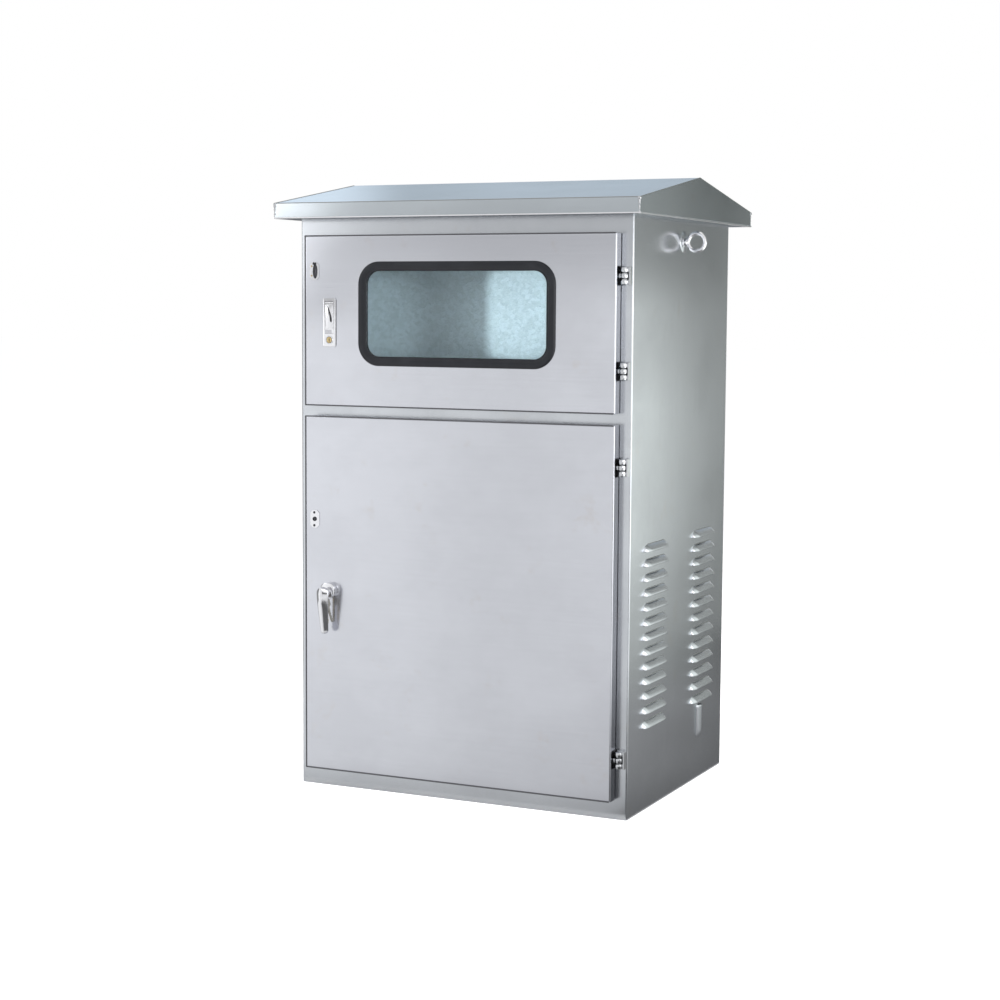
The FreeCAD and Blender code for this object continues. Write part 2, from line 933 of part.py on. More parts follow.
def hinge_knuckle(name, height):
    body = new_body(name)
    place(body, hinge_x, hinge_y, height)
    half_arm = dim.arm_thickness / 2
    half_finger = dim.finger_height / 2
    foot = -(dim.hinge_reach + dim.arm_root)
    face = door_inside - hinge_y
    arm = sketch_on(body, "XY_Plane", out=-half_finger)
    outline(arm, [
        (0, half_arm),
        (foot, half_arm),
        (foot, face + dim.hinge_leaf),
        (foot + dim.arm_foot, face + dim.hinge_leaf),
        (foot + dim.arm_foot, -half_arm),
        (0, -half_arm),
    ])
    pad(body, arm, dim.finger_height)
    barrel = sketch_on(body, "XY_Plane", out=-half_finger)
    octagon(barrel, dim.knuckle_radius)
    pad(body, barrel, dim.finger_height)
    plate = sketch_on(body, "XY_Plane", out=-dim.arm_plate_height / 2)
    plate_end = foot + dim.arm_foot
    rectangle(plate, plate_end - dim.arm_plate_width, plate_end, face, face + dim.hinge_leaf)
    pad(body, plate, dim.arm_plate_height)
    bore = sketch_on(body, "XY_Plane", out=-half_finger)
    circle(bore, 0, 0, dim.pin_radius + dim.pin_clearance)
    pocket(body, bore, dim.finger_height, back=True)
    return body


def hinge_pin(name, height):
    return cylinder(name, dim.pin_radius, ear_reach * 2, "z", hinge_x, hinge_y, height - ear_reach)


def hinges():
    brackets = []
    pins = []
    nodes = []
    for door, heights in hinge_heights.items():
        knuckles = []
        for number, height in enumerate(heights, start=1):
            brackets.append(hinge_bracket(f"{door}_hinge_bracket_{number}", height))
            pins.append(hinge_pin(f"{door}_hinge_pin_{number}", height))
            knuckles.append(hinge_knuckle(f"{door}_hinge_knuckle_{number}", height))
        nodes.append(group(f"{door}_hinge_knuckles", knuckles))
    return nodes + [group("hinge_brackets", brackets), group("hinge_pins", pins)]


# Doors

spindle_bore = dim.spindle_width / math.sqrt(2) + dim.turn_clearance


def door_blank(label, bottom, top):
    """Folded pan: face, returns and an inward lip, notched where the hinge arms come out."""
    body = new_body(label)
    place(body, 0, front_plane, 0)
    fold = dim.sheet
    rear = dim.door_gap
    blank = sketch_on(body, "XZ_Plane", out=rear)
    rectangle(blank, -door_half, door_half, bottom, top)
    step = pad(body, blank, dim.door_proud - rear)

    def face_edge(edge, middle):
        return near(middle.y, -dim.door_proud)

    round_edges(body, step, dim.door_edge_radius, face_edge)
    mouth = sketch_on(body, "XZ_Plane", out=rear)
    lip = dim.door_lip
    rectangle(mouth, lip - door_half, door_half - lip, bottom + lip, top - lip)
    pocket(body, mouth, fold, back=True)
    hollow = sketch_on(body, "XZ_Plane", out=rear + fold)
    rectangle(hollow, fold - door_half, door_half - fold, bottom + fold, top - fold)
    pocket(body, hollow, dim.door_proud - rear - fold * 2, back=True)
    return body


def notch_for_hinges(body, heights):
    notches = sketch_on(body, "XZ_Plane", out=dim.door_gap)
    half = dim.hinge_notch_height / 2
    inner = door_half - dim.door_lip
    for height in heights:
        rectangle(notches, inner, door_half, height - half, height + half)
    pocket(body, notches, dim.hinge_notch_depth, back=True)


def pierce(body, shapes):
    """Openings through the door's face, drawn by a function on a sketch at the face."""
    sketch = sketch_on(body, "XZ_Plane", out=dim.door_proud)
    shapes(sketch)
    return pocket(body, sketch, dim.sheet)


def upper_door_panel():
    body = door_blank("upper_door_panel", upper_door_bottom, upper_door_top)
    notch_for_hinges(body, hinge_heights["upper"])
    window_low = window_centre - dim.window_height / 2
    window_high = window_centre + dim.window_height / 2

    def window(sketch):
        rectangle(sketch, -dim.window_width / 2, dim.window_width / 2, window_low, window_high)

    def fittings(sketch):
        half = dim.lock_cup_width / 2 + dim.bolt_clearance
        tall = dim.lock_cup_height / 2 + dim.bolt_clearance
        rectangle(sketch, lock_x - half, lock_x + half, lock_centre - tall, lock_centre + tall)

    pierce(body, fittings)
    step = pierce(body, window)

    def window_corner(edge, middle):
        at_side = near(abs(middle.x), dim.window_width / 2)
        at_end = near(middle.z, window_low) or near(middle.z, window_high)
        return runs_along(edge, "y") and at_side and at_end

    round_edges(body, step, dim.window_corner, window_corner)
    return body


def lower_door_panel():
    body = door_blank("lower_door_panel", dim.lower_door_bottom, lower_door_top)
    notch_for_hinges(body, hinge_heights["lower"])

    def fittings(sketch):
        circle(sketch, lock_x, dim.handle_height, spindle_bore)

    pierce(body, fittings)
    return body


def door_seal(label, bottom, top):
    """Foam strip on the door's lip that meets the frame."""
    body = new_body(label)
    place(body, 0, front_plane, 0)
    ring = sketch_on(body, "XZ_Plane")
    outer = dim.seal_inset
    inner = dim.seal_inset + dim.seal_width
    for inset in (outer, inner):
        rectangle(ring, inset - door_half, door_half - inset, bottom + inset, top - inset)
    pad(body, ring, dim.door_gap)
    return body


# Window


def rounded_plate(body, margin, front, thickness):
    """A plate set out from the window opening by a margin, with the matching corner radius."""
    half = dim.window_width / 2 + margin
    tall = dim.window_height / 2 + margin
    corner = dim.window_corner + margin
    sketch = sketch_on(body, "XZ_Plane", out=front)
    rectangle(sketch, -half, half, -tall, tall)
    step = pad(body, sketch, thickness, back=True)

    def corner_edge(edge, middle):
        at_side = near(abs(middle.x), half)
        return runs_along(edge, "y") and at_side and near(abs(middle.z), tall)

    return round_edges(body, step, corner, corner_edge)


def ring_cut(label, base, margin, front, thickness):
    tool = new_body(f"{label}_tool")
    place(tool, 0, door_face, window_centre)
    rounded_plate(tool, margin, front, thickness)
    return cut(label, base, tool)


def window_glass():
    body = new_body("window_glass")
    place(body, 0, door_face, window_centre)
    rounded_plate(body, -dim.gasket_web, dim.glass_front, dim.glass_thickness)
    return body


def window_gasket():
    """Rubber section with one groove for the door sheet and one for the glass."""
    depth = dim.gasket_front + dim.sheet + dim.gasket_back
    ring = new_body("gasket_ring")
    place(ring, 0, door_face, window_centre)
    rounded_plate(ring, dim.gasket_outside, dim.gasket_front, depth)
    opened = ring_cut("gasket_opened", ring, -dim.gasket_inside, dim.gasket_front, depth)
    glazed = ring_cut("gasket_glazed", opened, -dim.gasket_web, dim.glass_front, dim.glass_thickness)
    strip = new_body("gasket_groove")
    place(strip, 0, door_face, window_centre)
    rounded_plate(strip, dim.gasket_outside + dim.gasket_front, ZERO, dim.sheet)
    groove = ring_cut("gasket_groove_ring", strip, ZERO, ZERO, dim.sheet)
    return cut("window_gasket", glazed, groove)


# Flush lock on the upper door


def flush_lock_housing():
    body = new_body("flush_lock_housing")
    place(body, lock_x, door_face, lock_centre)
    half = dim.lock_width / 2
    tall = dim.lock_height / 2
    flange = sketch_on(body, "XZ_Plane")
    rectangle(flange, -half, half, -tall, tall)
    step = pad(body, flange, dim.lock_flange)

    def corner(edge, middle):
        return runs_along(edge, "y")

    round_edges(body, step, dim.lock_corner, corner)
    cup_half = dim.lock_cup_width / 2
    cup_tall = dim.lock_cup_height / 2
    cup = sketch_on(body, "XZ_Plane")
    rectangle(cup, -cup_half, cup_half, -cup_tall, cup_tall)
    pad(body, cup, dim.lock_cup_depth, back=True)
    well = sketch_on(body, "XZ_Plane", out=dim.lock_flange)
    well_half = cup_half - dim.lock_wall
    well_top = cup_tall - dim.lock_wall
    rectangle(well, -well_half, well_half, well_top - dim.lock_well_height, well_top)
    pocket(body, well, dim.lock_well_depth)
    plug_hole = sketch_on(body, "XZ_Plane", out=dim.lock_flange)
    circle(plug_hole, 0, -dim.plug_drop, dim.plug_radius + dim.turn_clearance)
    pocket(body, plug_hole, dim.lock_flange + dim.lock_cup_depth)
    return body


flap_half = dim.lock_cup_width / 2 - dim.lock_wall - dim.flap_clearance
flap_top = dim.lock_cup_height / 2 - dim.lock_wall - dim.flap_clearance
flap_pin_y = dim.flap_barrel_radius - dim.lock_flange
flap_pin_z = flap_top - dim.flap_barrel_radius


def flush_lock_flap():
    """Pull flap: a tapered plate under a round barrel that turns on the pin."""
    body = new_body("flush_lock_flap")
    place(body, lock_x, door_face, lock_centre)
    front = -dim.lock_flange
    back = front + dim.flap_thickness
    low = flap_top - dim.flap_height
    side = sketch_on(body, "YZ_Plane", out=-flap_half)
    outline(side, [
        (front, low),
        (front, flap_pin_z),
        (flap_pin_y + dim.flap_barrel_radius, flap_pin_z),
        (back, flap_pin_z - dim.flap_shoulder),
        (back - dim.flap_thickness / 2, low),
    ])
    pad(body, side, flap_half * 2)
    barrel = sketch_on(body, "YZ_Plane", out=-flap_half)
    circle(barrel, flap_pin_y, flap_pin_z, dim.flap_barrel_radius)
    pad(body, barrel, flap_half * 2)
    bore = sketch_on(body, "YZ_Plane", out=-flap_half)
    circle(bore, flap_pin_y, flap_pin_z, dim.flap_pin_radius + dim.pin_clearance)
    pocket(body, bore, flap_half * 2, back=True)
    return body


def flush_lock_pin():
    """Pin across the housing's well, fast between its side walls."""
    length = dim.lock_cup_width - dim.lock_wall * 2
    pin = cylinder(
        "flush_lock_pin", dim.flap_pin_radius, length, "x",
        lock_x - length / 2, door_face + flap_pin_y, lock_centre + flap_pin_z)
    pin.Label = "flush_lock_pin"
    return pin


cam_front = front_plane + dim.cam_setback


def cam_plate(label, height, way):
    """Cam on a square spindle, standing up or hanging down, clear of the frame until it is turned."""
    body = new_body(label)
    place(body, lock_x, cam_front, height)
    half = dim.cam_width / 2
    tip = dim.cam_length * way
    sketch = sketch_on(body, "XZ_Plane")
    rectangle(sketch, -half, half, -half * way, tip)
    step = pad(body, sketch, dim.cam_thickness, back=True)

    def free_corner(edge, middle):
        return runs_along(edge, "y") and near(middle.z, tip)

    bevel_edges(body, step, half / 2, free_corner)
    opening = sketch_on(body, "XZ_Plane")
    side = dim.spindle_width / 2
    rectangle(opening, -side, side, -side, side)
    pocket(body, opening, dim.cam_thickness)
    return body


def key_plug():
    """Plug with a keyway; its square stem carries the cam behind the frame."""
    body = new_body("key_plug")
    height = lock_centre - dim.plug_drop
    place(body, lock_x, door_face, height)
    front = dim.lock_flange + dim.plug_proud
    barrel = sketch_on(body, "XZ_Plane", out=front)
    circle(barrel, 0, 0, dim.plug_radius)
    pad(body, barrel, dim.plug_length, back=True)
    tail = cam_front + dim.cam_thickness - door_face + dim.spindle_tail
    stem = sketch_on(body, "XZ_Plane", out=front - dim.plug_length)
    side = dim.spindle_width / 2
    rectangle(stem, -side, side, -side, side)
    pad(body, stem, tail - dim.plug_length + front, back=True)
    keyway = sketch_on(body, "XZ_Plane", out=front)
    half = dim.keyway_width / 2
    tall = dim.keyway_height / 2
    rectangle(keyway, -half, half, -tall, tall)
    pocket(body, keyway, dim.keyway_depth)
    return body


# Lever handle on the lower door

lever_back = door_face - dim.handle_base_depth - dim.neck_length


def handle_base():
    body = new_body("handle_base")
    place(body, lock_x, door_face, dim.handle_height)
    half = dim.handle_base_width / 2
    tall = dim.handle_base_height / 2
    plate = sketch_on(body, "XZ_Plane")
    rectangle(plate, -half, half, dim.handle_base_lift - tall, dim.handle_base_lift + tall)
    step = pad(body, plate, dim.handle_base_depth)

    def corner(edge, middle):
        return runs_along(edge, "y")

    round_edges(body, step, dim.handle_base_corner, corner)
    bore = sketch_on(body, "XZ_Plane", out=dim.handle_base_depth)
    circle(bore, 0, 0, spindle_bore)
    pocket(body, bore, dim.handle_base_depth)
    return body


def handle_lever():
    """Lever drawn in side view, trimmed to its tapering front view, on a round neck."""
    body = new_body("handle_lever")
    place(body, lock_x, lever_back, dim.handle_height)
    top = dim.lever_top_radius
    low = dim.lever_length + dim.lever_end_radius
    wide = dim.lever_top_radius
    side = sketch_on(body, "YZ_Plane", out=-wide)
    outline(side, [
        (0, top),
        (-dim.lever_thickness, top),
        (-dim.lever_thickness, -dim.lever_straight),
        (dim.lever_end_back - dim.lever_end_thickness, -low),
        (dim.lever_end_back, -low),
        (0, -dim.lever_straight),
    ])
    pad(body, side, wide * 2)
    trim = sketch_on(body, "XZ_Plane", out=dim.lever_thickness * 2)
    frame = dim.lever_length * 2
    rectangle(trim, -frame, frame, -frame, frame)
    lever_outline(trim)
    pocket(body, trim, dim.lever_thickness * 4)
    neck = sketch_on(body, "XZ_Plane")
    circle(neck, 0, 0, dim.neck_radius)
    pad(body, neck, dim.neck_length, back=True)
    socket = sketch_on(body, "XZ_Plane", out=-dim.neck_length)
    half = dim.spindle_width / 2
    rectangle(socket, -half, half, -half, half)
    pocket(body, socket, dim.spindle_socket, back=True)
    return body


def lever_outline(sketch):
    """Front view: a large round at the pivot running by straight flanks into a small one."""
    big, small, length = dim.lever_top_radius, dim.lever_end_radius, dim.lever_length
    lean = math.asin((big.value - small.value) / length.value)
    normal = FreeCAD.Vector(0, 0, 1)
    crown = Part.ArcOfCircle(Part.Circle(point(0, 0), normal, big.value), -lean, math.pi + lean)
    foot = Part.ArcOfCircle(
        Part.Circle(point(0, -length), normal, small.value), math.pi + lean, 2 * math.pi - lean)
    top = sketch.addGeometry(crown, False)
    end = sketch.addGeometry(foot, False)
    left = sketch.addGeometry(Part.LineSegment(crown.EndPoint, foot.StartPoint), False)
    right = sketch.addGeometry(Part.LineSegment(foot.EndPoint, crown.StartPoint), False)
    for start, after in ((top, left), (left, end), (end, right), (right, top)):
        sketch.addConstraint(Sketcher.Constraint("Tangent", start, 2, after, 1))
    pin_point(sketch, top, 3, 0, 0)
    pin_point(sketch, end, 3, 0, -length)
    for arc, radius in ((top, big), (end, small)):
        index = sketch.addConstraint(Sketcher.Constraint("Radius", arc, radius.value))
        bind(sketch, f"Constraints[{index}]", radius)


def handle_spindle():
    half = dim.spindle_width / 2
    start = lever_back + dim.neck_length - dim.spindle_socket
    end = cam_front + dim.cam_thickness + dim.spindle_tail
    bar = box(
        "handle_spindle",
        (lock_x - half, start, dim.handle_height - half),
        (lock_x + half, end, dim.handle_height + half))
    bar.Label = "handle_spindle"
    return bar


# Keys on a split ring, hung round the handle's neck

ring_y = door_face - dim.handle_base_depth - dim.key_ring_stand
ring_top = dim.handle_height + dim.neck_radius + dim.turn_clearance
ring_z = ring_top - dim.key_ring_radius + dim.key_ring_wire


def key_ring():
    body = new_body("key_ring")
    place(body, lock_x, ring_y, ring_z)
    section = sketch_on(body, "YZ_Plane")
    wire = dim.key_ring_wire
    rectangle(section, -wire, wire, dim.key_ring_radius - wire, dim.key_ring_radius + wire)
    revolve(body, section, 360, axis="H_Axis")
    return body


def door_key(label, start, lean, turn):
    """Flat key hanging by the hole in its bow, leaning back and turned a little on the ring."""
    body = new_body(label)
    lowest = ring_z - dim.key_ring_radius
    place(body, lock_x, ring_y, lowest + dim.key_ring_wire + dim.key_hang - dim.key_hole_radius)
    leaning = FreeCAD.Rotation(FreeCAD.Vector(1, 0, 0), lean)
    body.Placement.Rotation = FreeCAD.Rotation(FreeCAD.Vector(0, 0, 1), turn).multiply(leaning)
    bow = dim.key_bow_width / 2
    blade = dim.key_blade_width / 2
    profile = sketch_on(body, "YZ_Plane", out=start)
    right_side = [
        (blade, dim.key_bow_top),
        (bow, dim.key_bow_top - bow + blade),
        (bow, -dim.key_bow_shoulder),
        (blade, -dim.key_neck),
        (blade, blade - dim.key_length),
    ]
    left_side = [(-across, up) for across, up in reversed(right_side)]
    outline(profile, right_side + [(0, -dim.key_length)] + left_side)
    octagon(profile, dim.key_hole_radius)
    pad(body, profile, dim.key_thickness)
    return body


# Points for a wire seal


def seal_plate(label, height):
    body = new_body(label)
    place(body, seal_x, door_face, height)
    half = dim.seal_plate_width / 2
    tall = dim.seal_plate_height / 2
    plate = sketch_on(body, "XZ_Plane")
    rectangle(plate, -half, half, -tall, tall)
    step = pad(body, plate, dim.seal_plate_sheet)

    def corner(edge, middle):
        return runs_along(edge, "y")

    bevel_edges(body, step, dim.seal_plate_corner, corner)
    return body


# The assembly

right_panel = side_panel("side_panel_right")
right_gable = roof_gable("roof_gable_right")
right_support = roof_support("roof_support_right")
right_bracket = meter_plate_bracket("meter_plate_bracket_right")
right_rail = equipment_rail("equipment_rail_right")

nodes = [
    right_panel,
    mirrored("side_panel_left", right_panel),
    back_panel(),
    bottom_panel(),
    top_panel(),
    middle_rail(),
    divider_shelf(),
    roof_hood(),
    right_gable,
    mirrored("roof_gable_left", right_gable),
    right_support,
    mirrored("roof_support_left", right_support),
    lifting_eyes(),
    meter_plate(),
    right_bracket,
    mirrored("meter_plate_bracket_left", right_bracket),
    equipment_plate(),
    right_rail,
    mirrored("equipment_rail_left", right_rail),
    earth_stud(),
    gland_plate(),
    *hinges(),
    upper_door_panel(),
    door_seal("upper_door_seal", upper_door_bottom, upper_door_top),
    window_glass(),
    window_gasket(),
    flush_lock_housing(),
    flush_lock_flap(),
    flush_lock_pin(),
    key_plug(),
    cam_plate("upper_lock_cam", lock_centre - dim.plug_drop, DOWN),
    seal_plate("upper_seal_plate", upper_door_top - dim.upper_seal_drop),
    lower_door_panel(),
    door_seal("lower_door_seal", dim.lower_door_bottom, lower_door_top),
    handle_base(),
    handle_lever(),
    handle_spindle(),
    cam_plate("lower_lock_cam", dim.handle_height, UP),
    key_ring(),
    door_key("brass_key", -dim.key_spread - dim.key_thickness, *BRASS_KEY_LIE),
    door_key("steel_key", dim.key_spread, *STEEL_KEY_LIE),
    seal_plate("lower_seal_plate", lower_door_top - dim.lower_seal_drop),
]

doc.recompute()
for item in doc.Objects:
    if "Invalid" in item.State or "Error" in item.State:
        raise RuntimeError(f"{item.Label} did not recompute: {item.State}")

os.makedirs("parts", exist_ok=True)
for node in nodes:
    if node.Shape.isNull() or not node.Shape.isValid():
        raise RuntimeError(f"{node.Label} has no valid shape")
    node.Shape.exportStep(f"parts/{node.Label}.step")
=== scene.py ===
import math

import bmesh
import bpy
from mathutils import Matrix, Vector


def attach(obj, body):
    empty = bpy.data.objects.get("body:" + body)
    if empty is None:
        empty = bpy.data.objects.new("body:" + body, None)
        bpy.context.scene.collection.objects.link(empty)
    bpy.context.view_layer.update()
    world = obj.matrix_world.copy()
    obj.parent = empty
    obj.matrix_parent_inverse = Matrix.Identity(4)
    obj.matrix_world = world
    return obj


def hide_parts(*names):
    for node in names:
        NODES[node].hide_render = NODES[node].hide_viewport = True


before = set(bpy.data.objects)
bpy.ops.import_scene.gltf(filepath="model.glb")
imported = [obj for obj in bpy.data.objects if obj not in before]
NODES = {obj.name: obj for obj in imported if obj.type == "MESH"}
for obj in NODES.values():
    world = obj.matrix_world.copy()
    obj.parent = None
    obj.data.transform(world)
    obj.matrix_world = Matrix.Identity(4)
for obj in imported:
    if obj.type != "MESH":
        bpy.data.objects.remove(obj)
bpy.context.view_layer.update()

# Lengths below are millimetres in the part's frame; Blender works in metres.
MM = 0.001
TAU = 2 * math.pi
FRONT, BACK, UP = (0, -1, 0), (0, 1, 0), (0, 0, 1)
SIDES = {"right": 1, "left": -1}

HALF_WIDTH = 342.5
DOOR_FACE = -285.0
DOOR_HALF = 319.5
DOOR_EDGES = {"upper": (744.0, 1066.0), "lower": (37.0, 723.0)}


# Materials


def new_material(name):
    material = bpy.data.materials.new(name)
    material.use_nodes = True
    material.node_tree.nodes.clear()
    return material, material.node_tree


def node(tree, kind, inputs=None, **settings):
    """Adds a node; an input is a number, a colour, or the node or socket that feeds it."""
    made = tree.nodes.new(kind)
    for key, value in settings.items():
        setattr(made, key, value)
    for key, value in (inputs or {}).items():
        socket = made.inputs[key]
        if isinstance(value, bpy.types.Node):
            value = value.outputs[0]
        if isinstance(value, bpy.types.NodeSocket):
            tree.links.new(value, socket)
        else:
            socket.default_value = value
    return made


def rgb(red, green, blue):
    return (red, green, blue, 1.0)


def toned(colour, share):
    """A colour with its channels times a share."""
    return rgb(*(channel * share for channel in colour))


EVEN = (1.0, 1.0, 1.0)


def place_in(tree, scale):
    """The point on the surface in metres, stretched by scale along each axis."""
    coords = node(tree, "ShaderNodeTexCoord")
    return node(tree, "ShaderNodeMapping", {"Vector": coords.outputs["Object"], "Scale": scale})


def axes_of(tree):
    """The point on the surface in metres, split into X, Y and Z."""
    coords = node(tree, "ShaderNodeTexCoord")
    return node(tree, "ShaderNodeSeparateXYZ", {"Vector": coords.outputs["Object"]})


def noise(tree, scale, size, detail=3.0, roughness=0.5):
    where = place_in(tree, scale)
    return node(
        tree, "ShaderNodeTexNoise",
        {"Vector": where, "Scale": size, "Detail": detail, "Roughness": roughness})


def spread(tree, value, low, high, start, end):
    """Maps low..high onto start..end."""
    return node(
        tree, "ShaderNodeMapRange",
        {"Value": value, "From Min": low, "From Max": high, "To Min": start, "To Max": end})


def sums(tree, operation, *values):
    """One step of arithmetic on numbers, nodes or sockets."""
    return node(tree, "ShaderNodeMath", dict(enumerate(values)), operation=operation)


# The sockets of a mix node for each kind of value: first, second, result.
MIX_SOCKETS = {"VECTOR": (4, 5, 1), "RGBA": (6, 7, 2)}


def blend(tree, share, first, second, kind="RGBA"):
    """Mixes two colours, or two vectors, by share."""
    one, other, result = MIX_SOCKETS[kind]
    made = node(tree, "ShaderNodeMix", {0: share, one: first, other: second}, data_type=kind)
    return made.outputs[result]


def bumped(tree, height, strength, depth, normal=None):
    """A bump from a height pattern, laid over a normal where one is given."""
    inputs = {"Strength": strength, "Distance": depth, "Height": height}
    if normal is not None:
        inputs["Normal"] = normal
    return node(tree, "ShaderNodeBump", inputs)


def finish_material(tree, shader):
    node(tree, "ShaderNodeOutputMaterial", {"Surface": shader})


def outer_edges(tree, edge, beyond):
    """Rounds edges only past a distance from the middle, so welded joints stay unbroken."""
    rounded = node(tree, "ShaderNodeBevel", {"Radius": edge * MM}, samples=6)
    if not beyond:
        return rounded
    away = sums(tree, "ABSOLUTE", axes_of(tree).outputs["X"])
    past = sums(tree, "GREATER_THAN", away, beyond * MM)
    plain = node(tree, "ShaderNodeNewGeometry")
    return blend(tree, past, plain.outputs["Normal"], rounded, "VECTOR")


WARM_TINT = (0.93, 0.89, 0.84)


def brushed_steel(name, colour, roughness, grain, dull=0.06, edge=1.2, beyond=0.0):
    """Stainless sheet: fine grain lines, cloudy handling marks and softly rounded edges."""
    material, tree = new_material(name)
    lines = noise(tree, grain, 1.0, detail=4.0, roughness=0.65)
    clouds = noise(tree, (1.0, 1.0, 1.4), 5.5, detail=4.0, roughness=0.6)
    spots = noise(tree, EVEN, 16.0, detail=5.0, roughness=0.7)
    warm = rgb(*(channel * tint for channel, tint in zip(colour, WARM_TINT)))
    cloud_share = spread(tree, clouds, 0.38, 0.66, 0.0, 1.0)
    tone = blend(tree, cloud_share, rgb(*colour), toned(colour, 1.0 - dull))
    spot_share = spread(tree, spots, 0.6, 0.76, 0.0, 0.7)
    tone = blend(tree, spot_share, tone, warm)
    streak = spread(tree, lines, 0.3, 0.7, 0.98, 1.015)
    tone = node(tree, "ShaderNodeVectorMath", {0: tone, "Scale": streak}, operation="SCALE")
    rough_lines = spread(tree, lines, 0.3, 0.7, roughness - 0.012, roughness + 0.012)
    rough_cloud = spread(tree, clouds, 0.35, 0.7, -0.015, 0.04)
    rough = sums(tree, "ADD", rough_lines, rough_cloud)
    rounded = outer_edges(tree, edge, beyond)
    bump = bumped(tree, lines, strength=0.02, depth=0.0002, normal=rounded)
    shader = node(
        tree, "ShaderNodeBsdfPrincipled",
        {"Base Color": tone, "Metallic": 1.0, "Roughness": rough, "Normal": bump})
    finish_material(tree, shader)
    return material


def polished_metal(name, colour, roughness, edge=0.4):
    """Plated metal with faint waviness and small scuffs."""
    material, tree = new_material(name)
    waves = noise(tree, EVEN, 90.0, detail=2.0)
    scuffs = noise(tree, EVEN, 420.0, detail=4.0, roughness=0.7)
    worn_share = spread(tree, scuffs, 0.5, 0.75, 0.0, 0.6)
    tone = blend(tree, worn_share, rgb(*colour), toned(colour, 0.84))
    rough = spread(tree, scuffs, 0.3, 0.75, roughness, roughness + 0.1)
    rounded = node(tree, "ShaderNodeBevel", {"Radius": edge * MM}, samples=4)
    bump = bumped(tree, waves, strength=0.05, depth=0.0004, normal=rounded)
    shader = node(
        tree, "ShaderNodeBsdfPrincipled",
        {"Base Color": tone, "Metallic": 1.0, "Roughness": rough, "Normal": bump})
    finish_material(tree, shader)
    return material


def spangled_zinc(name, colour):
    """Galvanised sheet: crystal patches that each catch the light their own way."""
    material, tree = new_material(name)
    where = place_in(tree, EVEN)
    jitter = node(tree, "ShaderNodeTexNoise", {"Vector": where, "Scale": 130.0, "Detail": 3.0})
    shift = node(
        tree, "ShaderNodeVectorMath",
        {0: jitter.outputs["Color"], 1: (0.006, 0.006, 0.006)}, operation="MULTIPLY")
    moved = node(tree, "ShaderNodeVectorMath", {0: where, 1: shift}, operation="ADD")
    cells = node(tree, "ShaderNodeTexVoronoi", {"Vector": moved, "Scale": 140.0})
    small = node(tree, "ShaderNodeTexVoronoi", {"Vector": moved, "Scale": 420.0})
    value = node(tree, "ShaderNodeSeparateColor", {"Color": cells.outputs["Color"]})
    fine = node(tree, "ShaderNodeSeparateColor", {"Color": small.outputs["Color"]})
    both = sums(tree, "MULTIPLY_ADD", fine.outputs[0], 0.45, value.outputs[0])
    light_share = spread(tree, both, 0.1, 1.2, 0.0, 1.0)
    tone = blend(tree, light_share, toned(colour, 0.88), toned(colour, 1.08))
    rough = spread(tree, value.outputs[1], 0.0, 1.0, 0.34, 0.6)
    bump = bumped(tree, both, strength=0.9, depth=0.0016)
    shader = node(
        tree, "ShaderNodeBsdfPrincipled",
        {"Base Color": tone, "Roughness": rough, "Normal": bump, "Specular IOR Level": 0.12})
    finish_material(tree, shader)
    return material


def black_rubber(name, colour, roughness, grain):
    """Dark rubber or foam: fine pores and a thin uneven dust."""
    material, tree = new_material(name)
    pores = noise(tree, EVEN, grain, detail=3.0, roughness=0.6)
    dust = noise(tree, EVEN, 35.0, detail=4.0, roughness=0.6)
    grey = rgb(*(channel * 1.6 + 0.004 for channel in colour))
    tone = blend(tree, spread(tree, dust, 0.45, 0.75, 0.0, 0.7), rgb(*colour), grey)
    rough = spread(tree, dust, 0.3, 0.7, roughness, roughness + 0.15)
    bump = bumped(tree, pores, strength=0.12, depth=0.0003)
    shader = node(
        tree, "ShaderNodeBsdfPrincipled",
        {"Base Color": tone, "Roughness": rough, "Normal": bump, "Specular IOR Level": 0.4})
    finish_material(tree, shader)
    return material


def tinted_glass(name, colour):
    """Clear pane with a green-blue tint and a breath of dust; light passes through it."""
    material, tree = new_material(name)
    film = noise(tree, EVEN, 9.0, detail=4.0, roughness=0.6)
    film_share = spread(tree, film, 0.35, 0.7, 0.0, 1.0)
    tone = blend(tree, film_share, rgb(*colour), toned(colour, 0.96))
    rough = spread(tree, film, 0.4, 0.8, 0.0, 0.03)
    pane = node(
        tree, "ShaderNodeBsdfPrincipled",
        {"Base Color": tone, "Roughness": rough, "Transmission Weight": 1.0, "IOR": 1.25})
    clear = node(tree, "ShaderNodeBsdfTransparent", {"Color": tone})
    rays = node(tree, "ShaderNodeLightPath")
    mixed = node(
        tree, "ShaderNodeMixShader", {0: rays.outputs["Is Shadow Ray"], 1: pane, 2: clear})
    finish_material(tree, mixed)
    return material


LEVEL_GRAIN = (6.0, 6.0, 1100.0)
UPRIGHT_GRAIN = (700.0, 700.0, 5.0)

